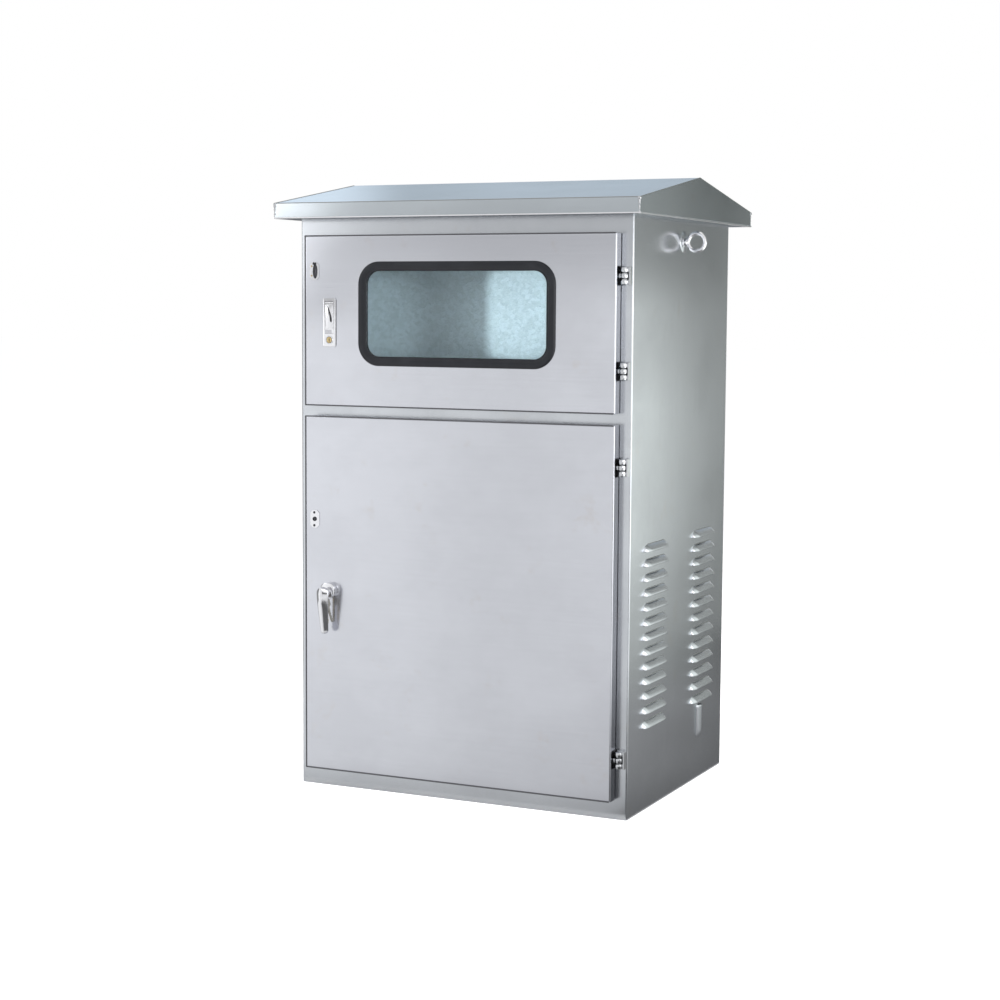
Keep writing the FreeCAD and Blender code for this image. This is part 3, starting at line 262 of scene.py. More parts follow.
shell = brushed_steel(
    "shell_steel", (0.61, 0.63, 0.66), 0.21, UPRIGHT_GRAIN, dull=0.1, edge=3.0, beyond=334.0)
door = brushed_steel("door_steel", (0.635, 0.645, 0.688), 0.18, LEVEL_GRAIN, edge=2.2)
roof = brushed_steel("roof_steel", (0.56, 0.6, 0.63), 0.17, LEVEL_GRAIN, edge=1.6)
bare_steel = brushed_steel(
    "hinge_steel", (0.6, 0.61, 0.63), 0.16, LEVEL_GRAIN, dull=0.14, edge=0.8)
# Near-black metal: the seal lug and screw, and painted shade for the wire holes and the lock's
# finger recess.
dark_steel_and_shade = polished_metal("dark_steel_and_shade", (0.07, 0.07, 0.075), 0.22)
# Mid-grey metal for thin strips of painted shade over the louvres and along the roof folds.
shade_line_steel = polished_metal("shade_line_steel", (0.3, 0.31, 0.31), 0.3)
# Near-black metal for the painted shade lines along the door edges.
door_shade_steel = polished_metal("door_shade_steel", (0.15, 0.15, 0.16), 0.3)
chrome = polished_metal("chrome", (0.78, 0.78, 0.8), 0.07)
key_steel = polished_metal("key_steel", (0.36, 0.35, 0.32), 0.16)
brass = polished_metal("plug_brass", (0.6, 0.47, 0.25), 0.2)
zinc = spangled_zinc("zinc_plate", (0.39, 0.475, 0.52))
rubber = black_rubber("gasket_rubber", (0.0035, 0.004, 0.006), 0.3, grain=900.0)
foam = black_rubber("seal_foam", (0.035, 0.035, 0.04), 0.75, grain=1400.0)
glass = tinted_glass("window_glass", (0.94, 0.98, 0.985))

NODE_MATERIALS = {
    shell: [
        "side_panel_right", "side_panel_left", "back_panel", "bottom_panel", "top_panel",
        "middle_rail", "divider_shelf", "roof_support_right", "roof_support_left",
        "meter_plate_bracket_right", "meter_plate_bracket_left"],
    door: ["upper_door_panel", "lower_door_panel"],
    roof: ["roof_hood", "roof_gable_right", "roof_gable_left"],
    zinc: [
        "meter_plate", "equipment_plate", "equipment_rail_right", "equipment_rail_left",
        "gland_plate", "upper_lock_cam", "lower_lock_cam", "handle_spindle"],
    bare_steel: [
        "hinge_brackets", "hinge_pins", "upper_hinge_knuckles", "lower_hinge_knuckles",
        "earth_stud", "flush_lock_pin", "steel_key"],
    chrome: [
        "lifting_eyes", "flush_lock_housing", "flush_lock_flap", "handle_base",
        "handle_lever", "key_ring", "upper_seal_plate", "lower_seal_plate"],
    brass: ["key_plug", "brass_key"],
    rubber: ["window_gasket"],
    foam: ["upper_door_seal", "lower_door_seal"],
    glass: ["window_glass"],
}
for material, names in NODE_MATERIALS.items():
    for name in names:
        slots = NODES[name].data.materials
        slots.clear()
        slots.append(material)


# Mesh building

LEAST_RADIUS = 0.01
BEVEL_MIDDLE = 0.3
LEAST_REACH = 0.3


class Shape:
    """Points and faces gathered in millimetres, made into one piece at the end."""

    def __init__(self):
        self.points = []
        self.faces = []

    def add(self, points, faces):
        base = len(self.points)
        self.points += [Vector(point) for point in points]
        self.faces += [[base + index for index in face] for face in faces]

    def skin(self, rings, closed=True, looped=False, capped=True):
        """Skins a row of equal rings of points; looped joins the last ring to the first."""
        count = len(rings[0])
        points = [point for ring in rings for point in ring]
        faces = []
        rows = len(rings) if looped else len(rings) - 1
        for row in range(rows):
            here = row * count
            after = ((row + 1) % len(rings)) * count
            for step in range(count if closed else count - 1):
                side = (step + 1) % count
                faces.append([here + step, here + side, after + side, after + step])
        if capped and not looped:
            faces.append(list(range(count)))
            faces.append(list(range((len(rings) - 1) * count, len(rings) * count)))
        self.add(points, faces)

    def lathe(self, profile, start, axis, sides=32):
        """Turns (radius, distance) steps round an axis from start."""
        axis = Vector(axis).normalized()
        outs = spokes(axis, sides)
        self.skin([
            [Vector(start) + axis * along + out * max(radius, LEAST_RADIUS) for out in outs]
            for radius, along in profile])

    def torus(self, centre, normal, radius, wire, sides=48, wire_sides=16):
        normal = Vector(normal).normalized()
        rings = []
        for out in spokes(normal, sides):
            ring = []
            for turn in range(wire_sides):
                around = TAU * turn / wire_sides
                ring.append(
                    Vector(centre) + out * (radius + wire * math.cos(around))
                    + normal * wire * math.sin(around))
            rings.append(ring)
        self.skin(rings, looped=True)

    def slab(self, outline, low, high, at, bevel=0.0):
        """Extrudes an outline of (a, b) pairs; at(a, b, c) places a point, c running low to high."""
        steps = [(0.0, low), (0.0, high)]
        if bevel:
            small = bevel * BEVEL_MIDDLE
            steps = [
                (bevel, low), (small, low + small), (0.0, low + bevel),
                (0.0, high - bevel), (small, high - small), (bevel, high)]
        self.skin([
            [Vector(at(a, b, level)) for a, b in shrink(outline, inset)]
            for inset, level in steps])

    def bar(self, start, end, radius, sides=12):
        """A round bar from start to end."""
        along = Vector(end) - Vector(start)
        self.lathe([(radius, 0.0), (radius, along.length)], start, along, sides)

    def hex_nut(self, seat, axis, radius, height, washer):
        """A chamfered six-sided nut or bolt head on a round washer half as wide again."""
        axis = Vector(axis)
        self.lathe(
            [(radius * 1.45, 0.0), (radius * 1.5, 0.4), (radius * 1.45, washer), (0.0, washer)],
            seat, axis, 28)
        self.lathe(
            [(radius * 0.94, 0.0), (radius, 0.5), (radius, height * 0.8),
             (radius * 0.84, height), (0.0, height)],
            Vector(seat) + axis * washer, axis, 6)

    def pan_head(self, seat, axis, radius, height):
        """A low domed screw head with a sunk middle."""
        self.lathe(
            [(radius, 0.0), (radius, height * 0.35), (radius * 0.86, height * 0.8),
             (radius * 0.5, height), (radius * 0.42, height * 0.55), (0.0, height * 0.5)],
            seat, axis, 24)

    def make(self, name, material, body, slot, sharp=32.0):
        """Makes the piece; edges that turn by more than sharp degrees stay crisp."""
        mesh = bpy.data.meshes.new(name)
        mesh.from_pydata([point * MM for point in self.points], [], self.faces)
        work = bmesh.new()
        work.from_mesh(mesh)
        bmesh.ops.recalc_face_normals(work, faces=work.faces)
        work.to_mesh(mesh)
        work.free()
        mesh.shade_smooth()
        mesh.set_sharp_from_angle(angle=math.radians(sharp))
        mesh.materials.append(material)
        made = bpy.data.objects.new(name, mesh)
        bpy.context.scene.collection.objects.link(made)
        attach(made, body)
        return made


def spokes(axis, sides):
    """Unit vectors square to an axis, evenly spread round it."""
    across = axis.orthogonal().normalized()
    third = axis.cross(across)
    angles = [TAU * step / sides for step in range(sides)]
    return [across * math.cos(angle) + third * math.sin(angle) for angle in angles]


def shrink(outline, inset):
    """Moves each corner of a closed outline inwards along the mean of its sides' normals."""
    if not inset:
        return list(outline)
    following = outline[1:] + outline[:1]
    area = sum(a[0] * b[1] - b[0] * a[1] for a, b in zip(outline, following))
    way = 1.0 if area > 0 else -1.0
    moved = []
    for before, here, after in zip(outline[-1:] + outline[:-1], outline, following):
        first = (Vector(here) - Vector(before)).normalized()
        second = (Vector(after) - Vector(here)).normalized()
        normal = Vector((-first.y - second.y, first.x + second.x)) * way
        reach = max(normal.length_squared / 2, LEAST_REACH)
        moved.append(tuple(Vector(here) + normal * inset / reach))
    return moved


def arc(centre, radius, start, end, steps):
    """Points on an arc, angles in degrees."""
    points = []
    for step in range(steps + 1):
        angle = math.radians(start + (end - start) * step / steps)
        points.append((centre[0] + radius * math.cos(angle), centre[1] + radius * math.sin(angle)))
    return points


def rounded_box(width, height, radius, steps=8):
    """Outline of a rounded rectangle about the origin, anticlockwise."""
    across, up = width / 2 - radius, height / 2 - radius
    return (
        arc((across, -up), radius, -90, 0, steps) + arc((across, up), radius, 0, 90, steps)
        + arc((-across, up), radius, 90, 180, steps)
        + arc((-across, -up), radius, 180, 270, steps))


def on_door(x, z):
    """Places an outline drawn in the door's plane; depth runs out towards the front."""
    return lambda a, b, c: (x + a, DOOR_FACE - c, z + b)


# Window gasket: two soft lobes with a groove between, swept round the opening

WINDOW = (0.0, 919.0)
GASKET_WIDTH, GASKET_HEIGHT, GASKET_CORNER = 388, 178, 34
GASKET_STEPS = 18
GASKET_PROFILE = [
    (9.0, -0.2), (9.0, 0.6), (8.6, 1.9), (7.7, 3.2), (6.2, 4.2), (4.2, 4.8), (2.0, 5.0),
    (-0.4, 4.9), (-2.4, 4.5), (-4.0, 3.8), (-5.2, 3.0), (-5.8, 2.7), (-6.4, 2.9), (-7.4, 3.0),
    (-8.4, 2.6), (-9.0, 1.6), (-9.0, -5.5), (-5.0, -5.5), (0.0, -5.5), (0.0, -0.2)]
SAME_PLACE = 1e-6


def window_gasket():
    shape = Shape()
    path = rounded_box(GASKET_WIDTH, GASKET_HEIGHT, GASKET_CORNER, GASKET_STEPS)
    inner = rounded_box(GASKET_WIDTH - 2, GASKET_HEIGHT - 2, GASKET_CORNER - 1, GASKET_STEPS)
    rings = []
    for here, inside in zip(path, inner):
        out = (Vector(here) - Vector(inside)).normalized()
        if abs(here[0] - inside[0]) < SAME_PLACE:
            out = Vector((0.0, math.copysign(1.0, here[1])))
        elif abs(here[1] - inside[1]) < SAME_PLACE:
            out = Vector((math.copysign(1.0, here[0]), 0.0))
        ring = []
        for across, front in GASKET_PROFILE:
            at = Vector(here) + out * across
            ring.append((WINDOW[0] + at.x, DOOR_FACE - front, WINDOW[1] + at.y))
        rings.append(ring)
    shape.skin(rings, looped=True)
    made = shape.make("window_gasket_bead", rubber, "upper_door", "gasket_rubber", 50.0)
    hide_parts("window_gasket")


window_gasket()


# Lifting eyes: forged rings on turned collars

EYE_CENTRE = (368.0, 0.0, 1058.0)
EYE_RADIUS = 16.6
EYE_WIRE = 4.0
COLLAR_PROFILE = [
    (0.0, -0.4), (9.4, -0.4), (9.6, 0.4), (8.4, 1.4), (7.5, 1.8), (7.5, 5.6), (7.0, 6.6),
    (5.2, 7.4), (4.4, 8.6), (0.0, 9.0)]


def lifting_eyes():
    shape = Shape()
    for side in SIDES.values():
        centre = (side * EYE_CENTRE[0], EYE_CENTRE[1], EYE_CENTRE[2])
        shape.torus(centre, BACK, EYE_RADIUS, EYE_WIRE)
        shape.lathe(COLLAR_PROFILE, (side * HALF_WIDTH, 0.0, EYE_CENTRE[2]), (side, 0, 0))
    made = shape.make("lifting_eye_rings", chrome, "cabinet", "chrome")
    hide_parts("lifting_eyes")


lifting_eyes()


# Louvres: smooth pressed hoods fitted over the flat-sided ones, and a pressed rib

LOUVRE_HALF = 41.0
LOUVRE_END = 18.6
LOUVRE_BULGE = 10.3
LOUVRE_RISE = 12.9
LOUVRE_LIP = 1.4
LOUVRE_LAP = 0.2
LOUVRE_CURVE = 1.5
LOUVRE_LEAST = 0.02
LOUVRE_ROWS = 13
LOUVRE_PITCH = 27.5
LOUVRE_BASE = 157.0
LOUVRE_COLUMNS = (-132.0, 132.0)
HOOD_END_STEPS, HOOD_RISE_STEPS = 9, 8

RIB_DEPTH = 126.0
RIB_FOOT, RIB_LENGTH, RIB_RUNOUT = 82.5, 66.5, 15.0
RIB_HALF, RIB_BULGE = 13.4, 7.4
RIB_STEPS, RIB_TURNS = 24, 16


def louvre_places():
    """The depth of each louvre's middle and the height of its base."""
    return [
        (column, LOUVRE_BASE + LOUVRE_PITCH * row)
        for column in LOUVRE_COLUMNS for row in range(LOUVRE_ROWS)]


def hood_stations():
    """Distances along a hood, close together on its rounded ends, with the share of full size."""
    ends = [math.sin(math.pi / 2 * step / HOOD_END_STEPS) for step in range(HOOD_END_STEPS + 1)]
    right = [(LOUVRE_HALF + LOUVRE_END * s, math.sqrt(max(0.0, 1 - s * s))) for s in ends]
    left = [(-along, share) for along, share in reversed(right)]
    return left + [(-LOUVRE_HALF / 2, 1.0), (0.0, 1.0), (LOUVRE_HALF / 2, 1.0)] + right


def louvre_hoods(label, side):
    shape = Shape()
    for column, base in louvre_places():
        rings = []
        for along, share in hood_stations():
            size = max(share, LOUVRE_LEAST)
            lip = max(LOUVRE_BULGE * size - LOUVRE_LIP, 0.0)
            ring = [(side * (HALF_WIDTH + lip), column + along, base - LOUVRE_LAP)]
            for step in range(HOOD_RISE_STEPS + 1):
                rise = step / HOOD_RISE_STEPS
                out = LOUVRE_BULGE * size * (1 - rise ** LOUVRE_CURVE)
                height = base + LOUVRE_RISE * size * rise
                ring.append((side * (HALF_WIDTH + out), column + along, height))
            rings.append(ring)
        shape.skin(rings, closed=False, capped=False)
    shape.make(f"louvre_hoods_{label}", shell, "cabinet", "shell_steel", 60.0)


def pressed_rib(label, side):
    """A rib that swells out of the sheet at its foot and ends square under the louvres."""
    shape = Shape()
    rings = []
    for step in range(RIB_STEPS + 1):
        share = step / RIB_STEPS
        height = RIB_FOOT + RIB_LENGTH * share
        foot = min(1.0, (height - RIB_FOOT) / RIB_RUNOUT)
        swell = math.sqrt(max(0.0, 1 - (1 - foot) ** 2))
        head = 1.0 if step < RIB_STEPS else 0.0
        ring = []
        for turn in range(RIB_TURNS + 1):
            across = -RIB_HALF + 2 * RIB_HALF * turn / RIB_TURNS
            hump = max(0.0, 1 - abs(across / RIB_HALF) ** 2.6) ** 0.75
            out = RIB_BULGE * hump * swell * head
            ring.append((side * (HALF_WIDTH + out), RIB_DEPTH + across, height))
        rings.append(ring)
    shape.skin(rings, closed=False, capped=False)
    shape.make(f"pressed_rib_{label}", shell, "cabinet", "shell_steel", 60.0)


for label, side in SIDES.items():
    louvre_hoods(label, side)
    pressed_rib(label, side)


# Hinges: round barrels, leaves and pins

HINGE_AXIS = (330.0, -272.0)
HINGE_HEIGHTS = {"upper": (820.0, 990.0), "lower": (113.0, 647.0)}
ALL_HINGES = [height for heights in HINGE_HEIGHTS.values() for height in heights]
BARREL = 7.0
EAR_INNER, EAR_OUTER = 5.4, 15.9
WEB_INSIDE, WEB_OUTSIDE = 8.2, 10.9
SEAT = 12.0
LEAF = 3.0
EAR_OUTLINE = [(-BARREL, SEAT - LEAF)] + arc((0, 0), BARREL, 180, 360, 16) + [
    (WEB_INSIDE, 0.0), (WEB_INSIDE, SEAT - LEAF)]
BRACKET_LEAF = [
    (-BARREL, SEAT), (-BARREL, SEAT - LEAF), (WEB_INSIDE, SEAT - LEAF), (WEB_INSIDE, 0.0),
    (WEB_OUTSIDE, 0.0), (WEB_OUTSIDE, SEAT)]
PIN_PROFILE = [(0.0, -0.9), (1.9, -0.6), (3.0, 0.3), (3.0, 31.5), (1.9, 32.4), (0.0, 32.7)]
ARM_OUTLINE = [
    (0.0, 4.0), (-30.0, 4.0), (-30.0, 12.0), (-22.0, 12.0), (-22.0, -4.0), (0.0, -4.0)]
DOOR_LEAF = [(-48.0, 9.0), (-22.0, 9.0), (-22.0, 12.0), (-48.0, 12.0)]
ARM_HALF, KNUCKLE_HALF, DOOR_LEAF_HALF = 4.2, 5.0, 15.0


def at_hinge(height):
    return lambda a, b, c: (HINGE_AXIS[0] + a, HINGE_AXIS[1] + b, height + c)


def hinge_brackets():
    shape = Shape()
    for height in ALL_HINGES:
        shape.slab(BRACKET_LEAF, -EAR_OUTER, EAR_OUTER, at_hinge(height))
        for low, high in ((-EAR_OUTER, -EAR_INNER), (EAR_INNER, EAR_OUTER)):
            shape.slab(EAR_OUTLINE, low, high, at_hinge(height), bevel=3.2)
    made = shape.make("hinge_bracket_ears", bare_steel, "cabinet", "hinge_steel")
    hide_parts("hinge_brackets")


def hinge_pins():
    shape = Shape()
    for height in ALL_HINGES:
        shape.lathe(PIN_PROFILE, (HINGE_AXIS[0], HINGE_AXIS[1], height - EAR_OUTER), UP, 24)
    made = shape.make("hinge_pins_domed", bare_steel, "cabinet", "hinge_steel")
    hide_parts("hinge_pins")


def hinge_knuckles(label):
    shape = Shape()
    knuckle = arc((0, 0), BARREL, 0, 350, 34)
    for height in HINGE_HEIGHTS[label]:
        place = at_hinge(height)
        shape.slab(ARM_OUTLINE, -ARM_HALF, ARM_HALF, place, bevel=1.6)
        shape.slab(knuckle, -KNUCKLE_HALF, KNUCKLE_HALF, place, bevel=2.6)
        shape.slab(DOOR_LEAF, -DOOR_LEAF_HALF, DOOR_LEAF_HALF, place, bevel=0.6)
    made = shape.make(f"{label}_hinge_arms", bare_steel, f"{label}_door", "hinge_steel")
    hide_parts(f"{label}_hinge_knuckles")


hinge_brackets()
hinge_pins()
for label in HINGE_HEIGHTS:
    hinge_knuckles(label)


# Lever handle

HANDLE = (-265.5, 386.0)
HANDLE_DEPTH = 12.0
BOSS_WIDTH, BOSS_HEIGHT, BOSS_CORNER = 32, 29, 13
BOSS_RAISE = 3.5
LEVER_BACK = DOOR_FACE - 26.0
LEVER_HEAD, LEVER_TIP, LEVER_LENGTH = 12.0, 7.5, 72.0
LEVER_THICKNESS, LEVER_THINNING, LEVER_SWEEP = 12.0, 10.5, 7.5
LEVER_STEPS, LEVER_END_STEPS = 12, 8
BEND_START, BEND_END = 6.0, 26.0
BEND_MIDDLE = (BEND_START + BEND_END) / 2
LEVER_SECTION = [
    (-1.0, 0.3), (-0.94, 0.5), (-0.82, 0.7), (-0.66, 0.85), (-0.48, 0.93), (-0.2, 0.97),
    (0.04, 1.0), (0.12, 0.98), (0.3, 0.84), (0.5, 0.67), (0.68, 0.51), (0.84, 0.36), (0.95, 0.2),
    (1.0, 0.08), (0.93, 0.02), (0.8, 0.0), (0.4, 0.0), (0.0, 0.0), (-0.4, 0.0), (-0.8, 0.0),
    (-0.93, 0.04), (-0.99, 0.14)]
NECK_PROFILE = [(0.0, -2.0), (7.0, -2.0), (7.0, 11.5), (7.0, 13.0), (6.4, 13.6), (0.0, 13.6)]


def handle_base():
    shape = Shape()
    boss = rounded_box(BOSS_WIDTH, BOSS_HEIGHT, BOSS_CORNER, 10)
    shape.slab(boss, 0.0, HANDLE_DEPTH, on_door(HANDLE[0], HANDLE[1] + BOSS_RAISE), bevel=3.0)
    made = shape.make("handle_base_boss", chrome, "lower_door", "chrome")
    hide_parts("handle_base")


def lever_station(drop):
    """Half width, front and back of the lever at a distance below its pivot."""
    if drop < 0:
        half = math.sqrt(max(0.0, LEVER_HEAD ** 2 - drop * drop))
    elif drop > LEVER_LENGTH:
        half = math.sqrt(max(0.0, LEVER_TIP ** 2 - (drop - LEVER_LENGTH) ** 2))
    else:
        half = LEVER_HEAD - (LEVER_HEAD - LEVER_TIP) * drop / LEVER_LENGTH
    if drop < BEND_END:
        eased = max(0.0, drop - BEND_START) ** 2 / (2 * (BEND_END - BEND_START))
    else:
        eased = drop - BEND_MIDDLE
    slope = eased / (LEVER_LENGTH + LEVER_TIP - BEND_MIDDLE)
    return half, LEVER_THINNING * slope - LEVER_THICKNESS, LEVER_SWEEP * slope


def handle_lever():
    shape = Shape()
    turns = [math.pi / 2 * step / LEVER_END_STEPS for step in range(LEVER_END_STEPS + 1)]
    pitch = LEVER_LENGTH / LEVER_STEPS
    drops = [-LEVER_HEAD + LEVER_HEAD * (1 - math.cos(angle)) for angle in turns]
    drops += [pitch * step for step in range(1, LEVER_STEPS + 1)]
    drops += [LEVER_LENGTH + LEVER_TIP * math.sin(angle) for angle in turns[1:]]
    rings = []
    for drop in drops:
        half, front, back = lever_station(drop)
        half = max(half, 0.3)
        round_off = min(1.0, 0.45 + 0.55 * min(1.0, half / 7.0))
        ring = []
        for across, share in LEVER_SECTION:
            depth = LEVER_BACK + back + (front - back) * share * round_off
            ring.append((HANDLE[0] + half * across, depth, HANDLE[1] - drop))
        rings.append(ring)
    shape.skin(rings)
    shape.lathe(NECK_PROFILE, (HANDLE[0], LEVER_BACK, HANDLE[1]), BACK)
    made = shape.make("handle_lever_grip", chrome, "lever", "chrome", 50.0)
    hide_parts("handle_lever")


handle_base()
handle_lever()


# Keys on a split ring, hanging from the lever's neck

RING_CENTRE = (HANDLE[0], -300.0, 382.3)
RING_RADIUS = 11.9
RING_WIRE, RING_SPLIT = 0.48, 0.42
KEY_PLACE = (HANDLE[0], -300.0, 368.3)
KEY_THICKNESS = 1.6
KEY_SPREAD = 0.4
KEY_TURN = -25
KEY_TOP, KEY_HOLE = 5.5, 4.0
KEY_SLIT = 0.001
KEY_OUTLINE = (
    arc((-3.0, 1.5), 4.0, 90, 180, 6) + arc((-3.5, -7.0), 3.5, 180, 235, 4)
    + [(-2.5, -12.6), (-2.5, -40.5), (-0.9, -43.0), (0.9, -43.0), (1.6, -41.6), (0.9, -39.8),
       (1.9, -38.4), (2.4, -36.6), (1.2, -34.6), (1.9, -32.4), (2.3, -30.2), (0.7, -28.2),
       (2.4, -25.4), (1.5, -23.0), (2.5, -20.2), (2.5, -12.6)]
    + arc((3.5, -7.0), 3.5, 305, 360, 4) + arc((3.0, 1.5), 4.0, 0, 90, 6))
KEY_RIB = [(-1.5, -41.0), (-0.5, -41.0), (-0.5, -14.5), (-1.5, -14.5)]
KEY_RIB_LIFT = 0.14


def key_ring():
    shape = Shape()
    for shift in (-RING_SPLIT, RING_SPLIT):
        centre = (RING_CENTRE[0], RING_CENTRE[1] + shift, RING_CENTRE[2])
        shape.torus(centre, BACK, RING_RADIUS, RING_WIRE, 56, 10)
    made = shape.make("split_key_ring", chrome, "lower_door", "chrome")
    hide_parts("key_ring")


def hanging_key(label, material, slot, start, lean):
    """A cut key: bow with its hole, shoulder and notched blade, with a rib along each face."""
    turned = Matrix.Rotation(math.radians(KEY_TURN), 3, "Z")
    spin = turned @ Matrix.Rotation(math.radians(lean), 3, "X")

    def place(a, b, c):
        return Vector(KEY_PLACE) + spin @ Vector((c, a, b))

    # One outline runs round the key, in at the top through a hair-thin slit and round the hole.
    hole = arc((0.0, 0.0), KEY_HOLE, 90, -270, 28)
    hole[0] = (hole[0][0] + KEY_SLIT, hole[0][1])
    outline = [(0.0, KEY_TOP)] + KEY_OUTLINE + [(KEY_SLIT, KEY_TOP)] + hole
    end = start + KEY_THICKNESS
    shape = Shape()
    shape.slab(outline, start, end, place)
    shape.slab(KEY_RIB, start - KEY_RIB_LIFT, start, place)
    shape.slab(KEY_RIB, end, end + KEY_RIB_LIFT, place)
    made = shape.make(f"cut_{label}", material, "lower_door", slot)
    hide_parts(label)


key_ring()
hanging_key("brass_key", brass, "plug_brass", -KEY_SPREAD - KEY_THICKNESS, lean=6)
hanging_key("steel_key", key_steel, "hinge_steel", KEY_SPREAD, lean=18)


# Flush lock: finger pull, rim round the key plug and rim of the plate

LOCK = (-265.5, 902.0)
LOCK_WIDTH, LOCK_HEIGHT, LOCK_CORNER = 27, 92, 2.4
FLAP_FACE = -287.0
FLAP_MIDDLE = 913.5
PLUG_HEIGHT = 869.0
PULL_TOP = (-269.3, 933.5)
PULL_LENGTH, PULL_CURVE, PULL_DRIFT = 31.5, 8.6, 0.8
PULL_STEPS, PULL_TURNS = 16, 12
RIM_WIDTH = 1.5
RIM_PROFILE = [(0.0, 0.3), (0.0, 2.3), (0.3, 2.75), (0.7, 2.75), (1.0, 2.3), (1.0, 0.3)]
PLUG_RIM = [(6.2, 0.0), (8.2, 0.0), (8.2, 0.5), (7.6, 1.1), (6.6, 1.1), (6.2, 0.6), (6.2, 0.0)]


def lock_pull():
    """A slim curved finger pull on the flap, thicker towards its lower end, near-black as painted
    shade of the finger recess.
    """
    shape = Shape()
    rings = []
    for step in range(PULL_STEPS + 1):
        share = step / PULL_STEPS
        x = PULL_TOP[0] + PULL_CURVE * math.sin(share * math.pi / 2) - PULL_DRIFT * share
        z = PULL_TOP[1] - PULL_LENGTH * share
        end = math.sqrt(max(0.02, 1 - abs(2 * share - 1) ** 6))
        half = (1.2 + 1.5 * share) * end
        proud = (1.4 + 1.2 * share) * end
        ring = []
        for turn in range(PULL_TURNS + 1):
            angle = math.pi * turn / PULL_TURNS
            ring.append((x + half * math.cos(angle), FLAP_FACE - proud * math.sin(angle), z))
        rings.append(ring)
    shape.skin(rings)
    shape.make("flap_finger_pull", dark_steel_and_shade, "lock_flap", "chrome")
    shape = Shape()
    shape.slab(rounded_box(16.4, 46, 3, 6), 2.0, 2.5, on_door(LOCK[0], FLAP_MIDDLE), bevel=0.2)
    shape.make("flap_face_plate", chrome, "lock_flap", "chrome")


def lock_rims():
    shape = Shape()
    rim = rounded_box(LOCK_WIDTH, LOCK_HEIGHT, LOCK_CORNER, 6)
    rings = []
    for out, inside in zip(rim, shrink(rim, RIM_WIDTH)):
        ring = []
        for share, front in RIM_PROFILE:
            a = out[0] + (inside[0] - out[0]) * share
            b = out[1] + (inside[1] - out[1]) * share
            ring.append((LOCK[0] + a, DOOR_FACE - front, LOCK[1] + b))
        rings.append(ring)
    shape.skin(rings, looped=True)
    shape.lathe(PLUG_RIM, (LOCK[0], FLAP_FACE, PLUG_HEIGHT), FRONT, 40)
    shape.make("lock_plate_rims", chrome, "upper_door", "chrome")


lock_pull()
lock_rims()


# Seal lugs: a dark fin with two rivets above, a screwed plate with wire holes below, the holes drawn
# as dark discs of painted shade

SEAL_X = -298.5
UPPER_SEAL, LOWER_SEAL = 999.0, 525.0
SEAL_FACE = DOOR_FACE - 1.5
LUG_SHIFT, LUG_HALF, LUG_PROUD, LUG_REACH = 2.0, 4.2, 5.0, 14.0
LUG_STEPS, LUG_TURNS = 10, 16
KNOB_RADIUS, KNOB_TURNS = 2.6, 10
WIRE_HOLE_SHADE = [(2.6, 0.0), (2.5, 0.25), (1.8, 0.3), (0.0, 0.12)]


def upper_seal_lug():
    shape = Shape()
    rings = []
    for step in range(2 * LUG_STEPS + 1):
        share = -1 + step / LUG_STEPS
        size = math.sqrt(max(0.03, 1 - share * share))
        ring = []
        for turn in range(LUG_TURNS + 1):
            angle = math.pi * turn / LUG_TURNS
            ring.append((
                SEAL_X + LUG_SHIFT + LUG_HALF * size * math.cos(angle),
                SEAL_FACE - LUG_PROUD * size * math.sin(angle) ** 0.8,
                UPPER_SEAL + LUG_REACH * share))
        rings.append(ring)
    shape.skin(rings)
    turns = [math.pi * step / KNOB_TURNS for step in range(KNOB_TURNS + 1)]
    knob = [
        (KNOB_RADIUS * math.sin(angle), KNOB_RADIUS - KNOB_RADIUS * math.cos(angle))
        for angle in turns]
    shape.lathe(knob, (SEAL_X + 0.6, SEAL_FACE, UPPER_SEAL + 14.2), FRONT, 20)
    shape.make("upper_seal_lug", dark_steel_and_shade, "upper_door", "hinge_steel")
    shape = Shape()
    for height in (-8.5, 9.5):
        shape.pan_head((SEAL_X - 5.6, SEAL_FACE, UPPER_SEAL + height), FRONT, 1.7, 1.0)
    shape.make("upper_seal_rivets", brass, "upper_door", "plug_brass")


def lower_seal_parts():
    shape = Shape()
    shape.pan_head((SEAL_X, SEAL_FACE, LOWER_SEAL), FRONT, 4.4, 2.4)
    for height in (-12.5, 12.5):
        # Each wire hole is a low near-black disc: painted shade standing in for an open hole.
        shape.lathe(WIRE_HOLE_SHADE, (SEAL_X - 1.0, SEAL_FACE, LOWER_SEAL + height), FRONT, 20)
    shape.make("lower_seal_screw", dark_steel_and_shade, "lower_door", "hinge_steel")


upper_seal_lug()
lower_seal_parts()


# Doors: a dark line of painted shade along the edges

SHADE_LINE_RADIUS = 1.0
HINGE_SIDE_STOP = 2.5


def door_shade_lines(label, bottom, top):
    """A dark bar of painted shade along a door's top, free and bottom edges."""
    shape = Shape()
    stop = DOOR_HALF - HINGE_SIDE_STOP
    corners = [(stop, top), (-DOOR_HALF, top), (-DOOR_HALF, bottom), (stop, bottom)]
    for (x, z), (to_x, to_z) in zip(corners, corners[1:]):
        shape.bar((x, DOOR_FACE, z), (to_x, DOOR_FACE, to_z), SHADE_LINE_RADIUS)
    shape.make(f"{label}_door_shade_lines", door_shade_steel, f"{label}_door", "door_steel", 60.0)


for label, (bottom, top) in DOOR_EDGES.items():
    door_shade_lines(label, bottom, top)


# Roof: hems with a painted highlight and lines of painted shade along the sheet edges, the eaves'
# return and weld beads at the corners

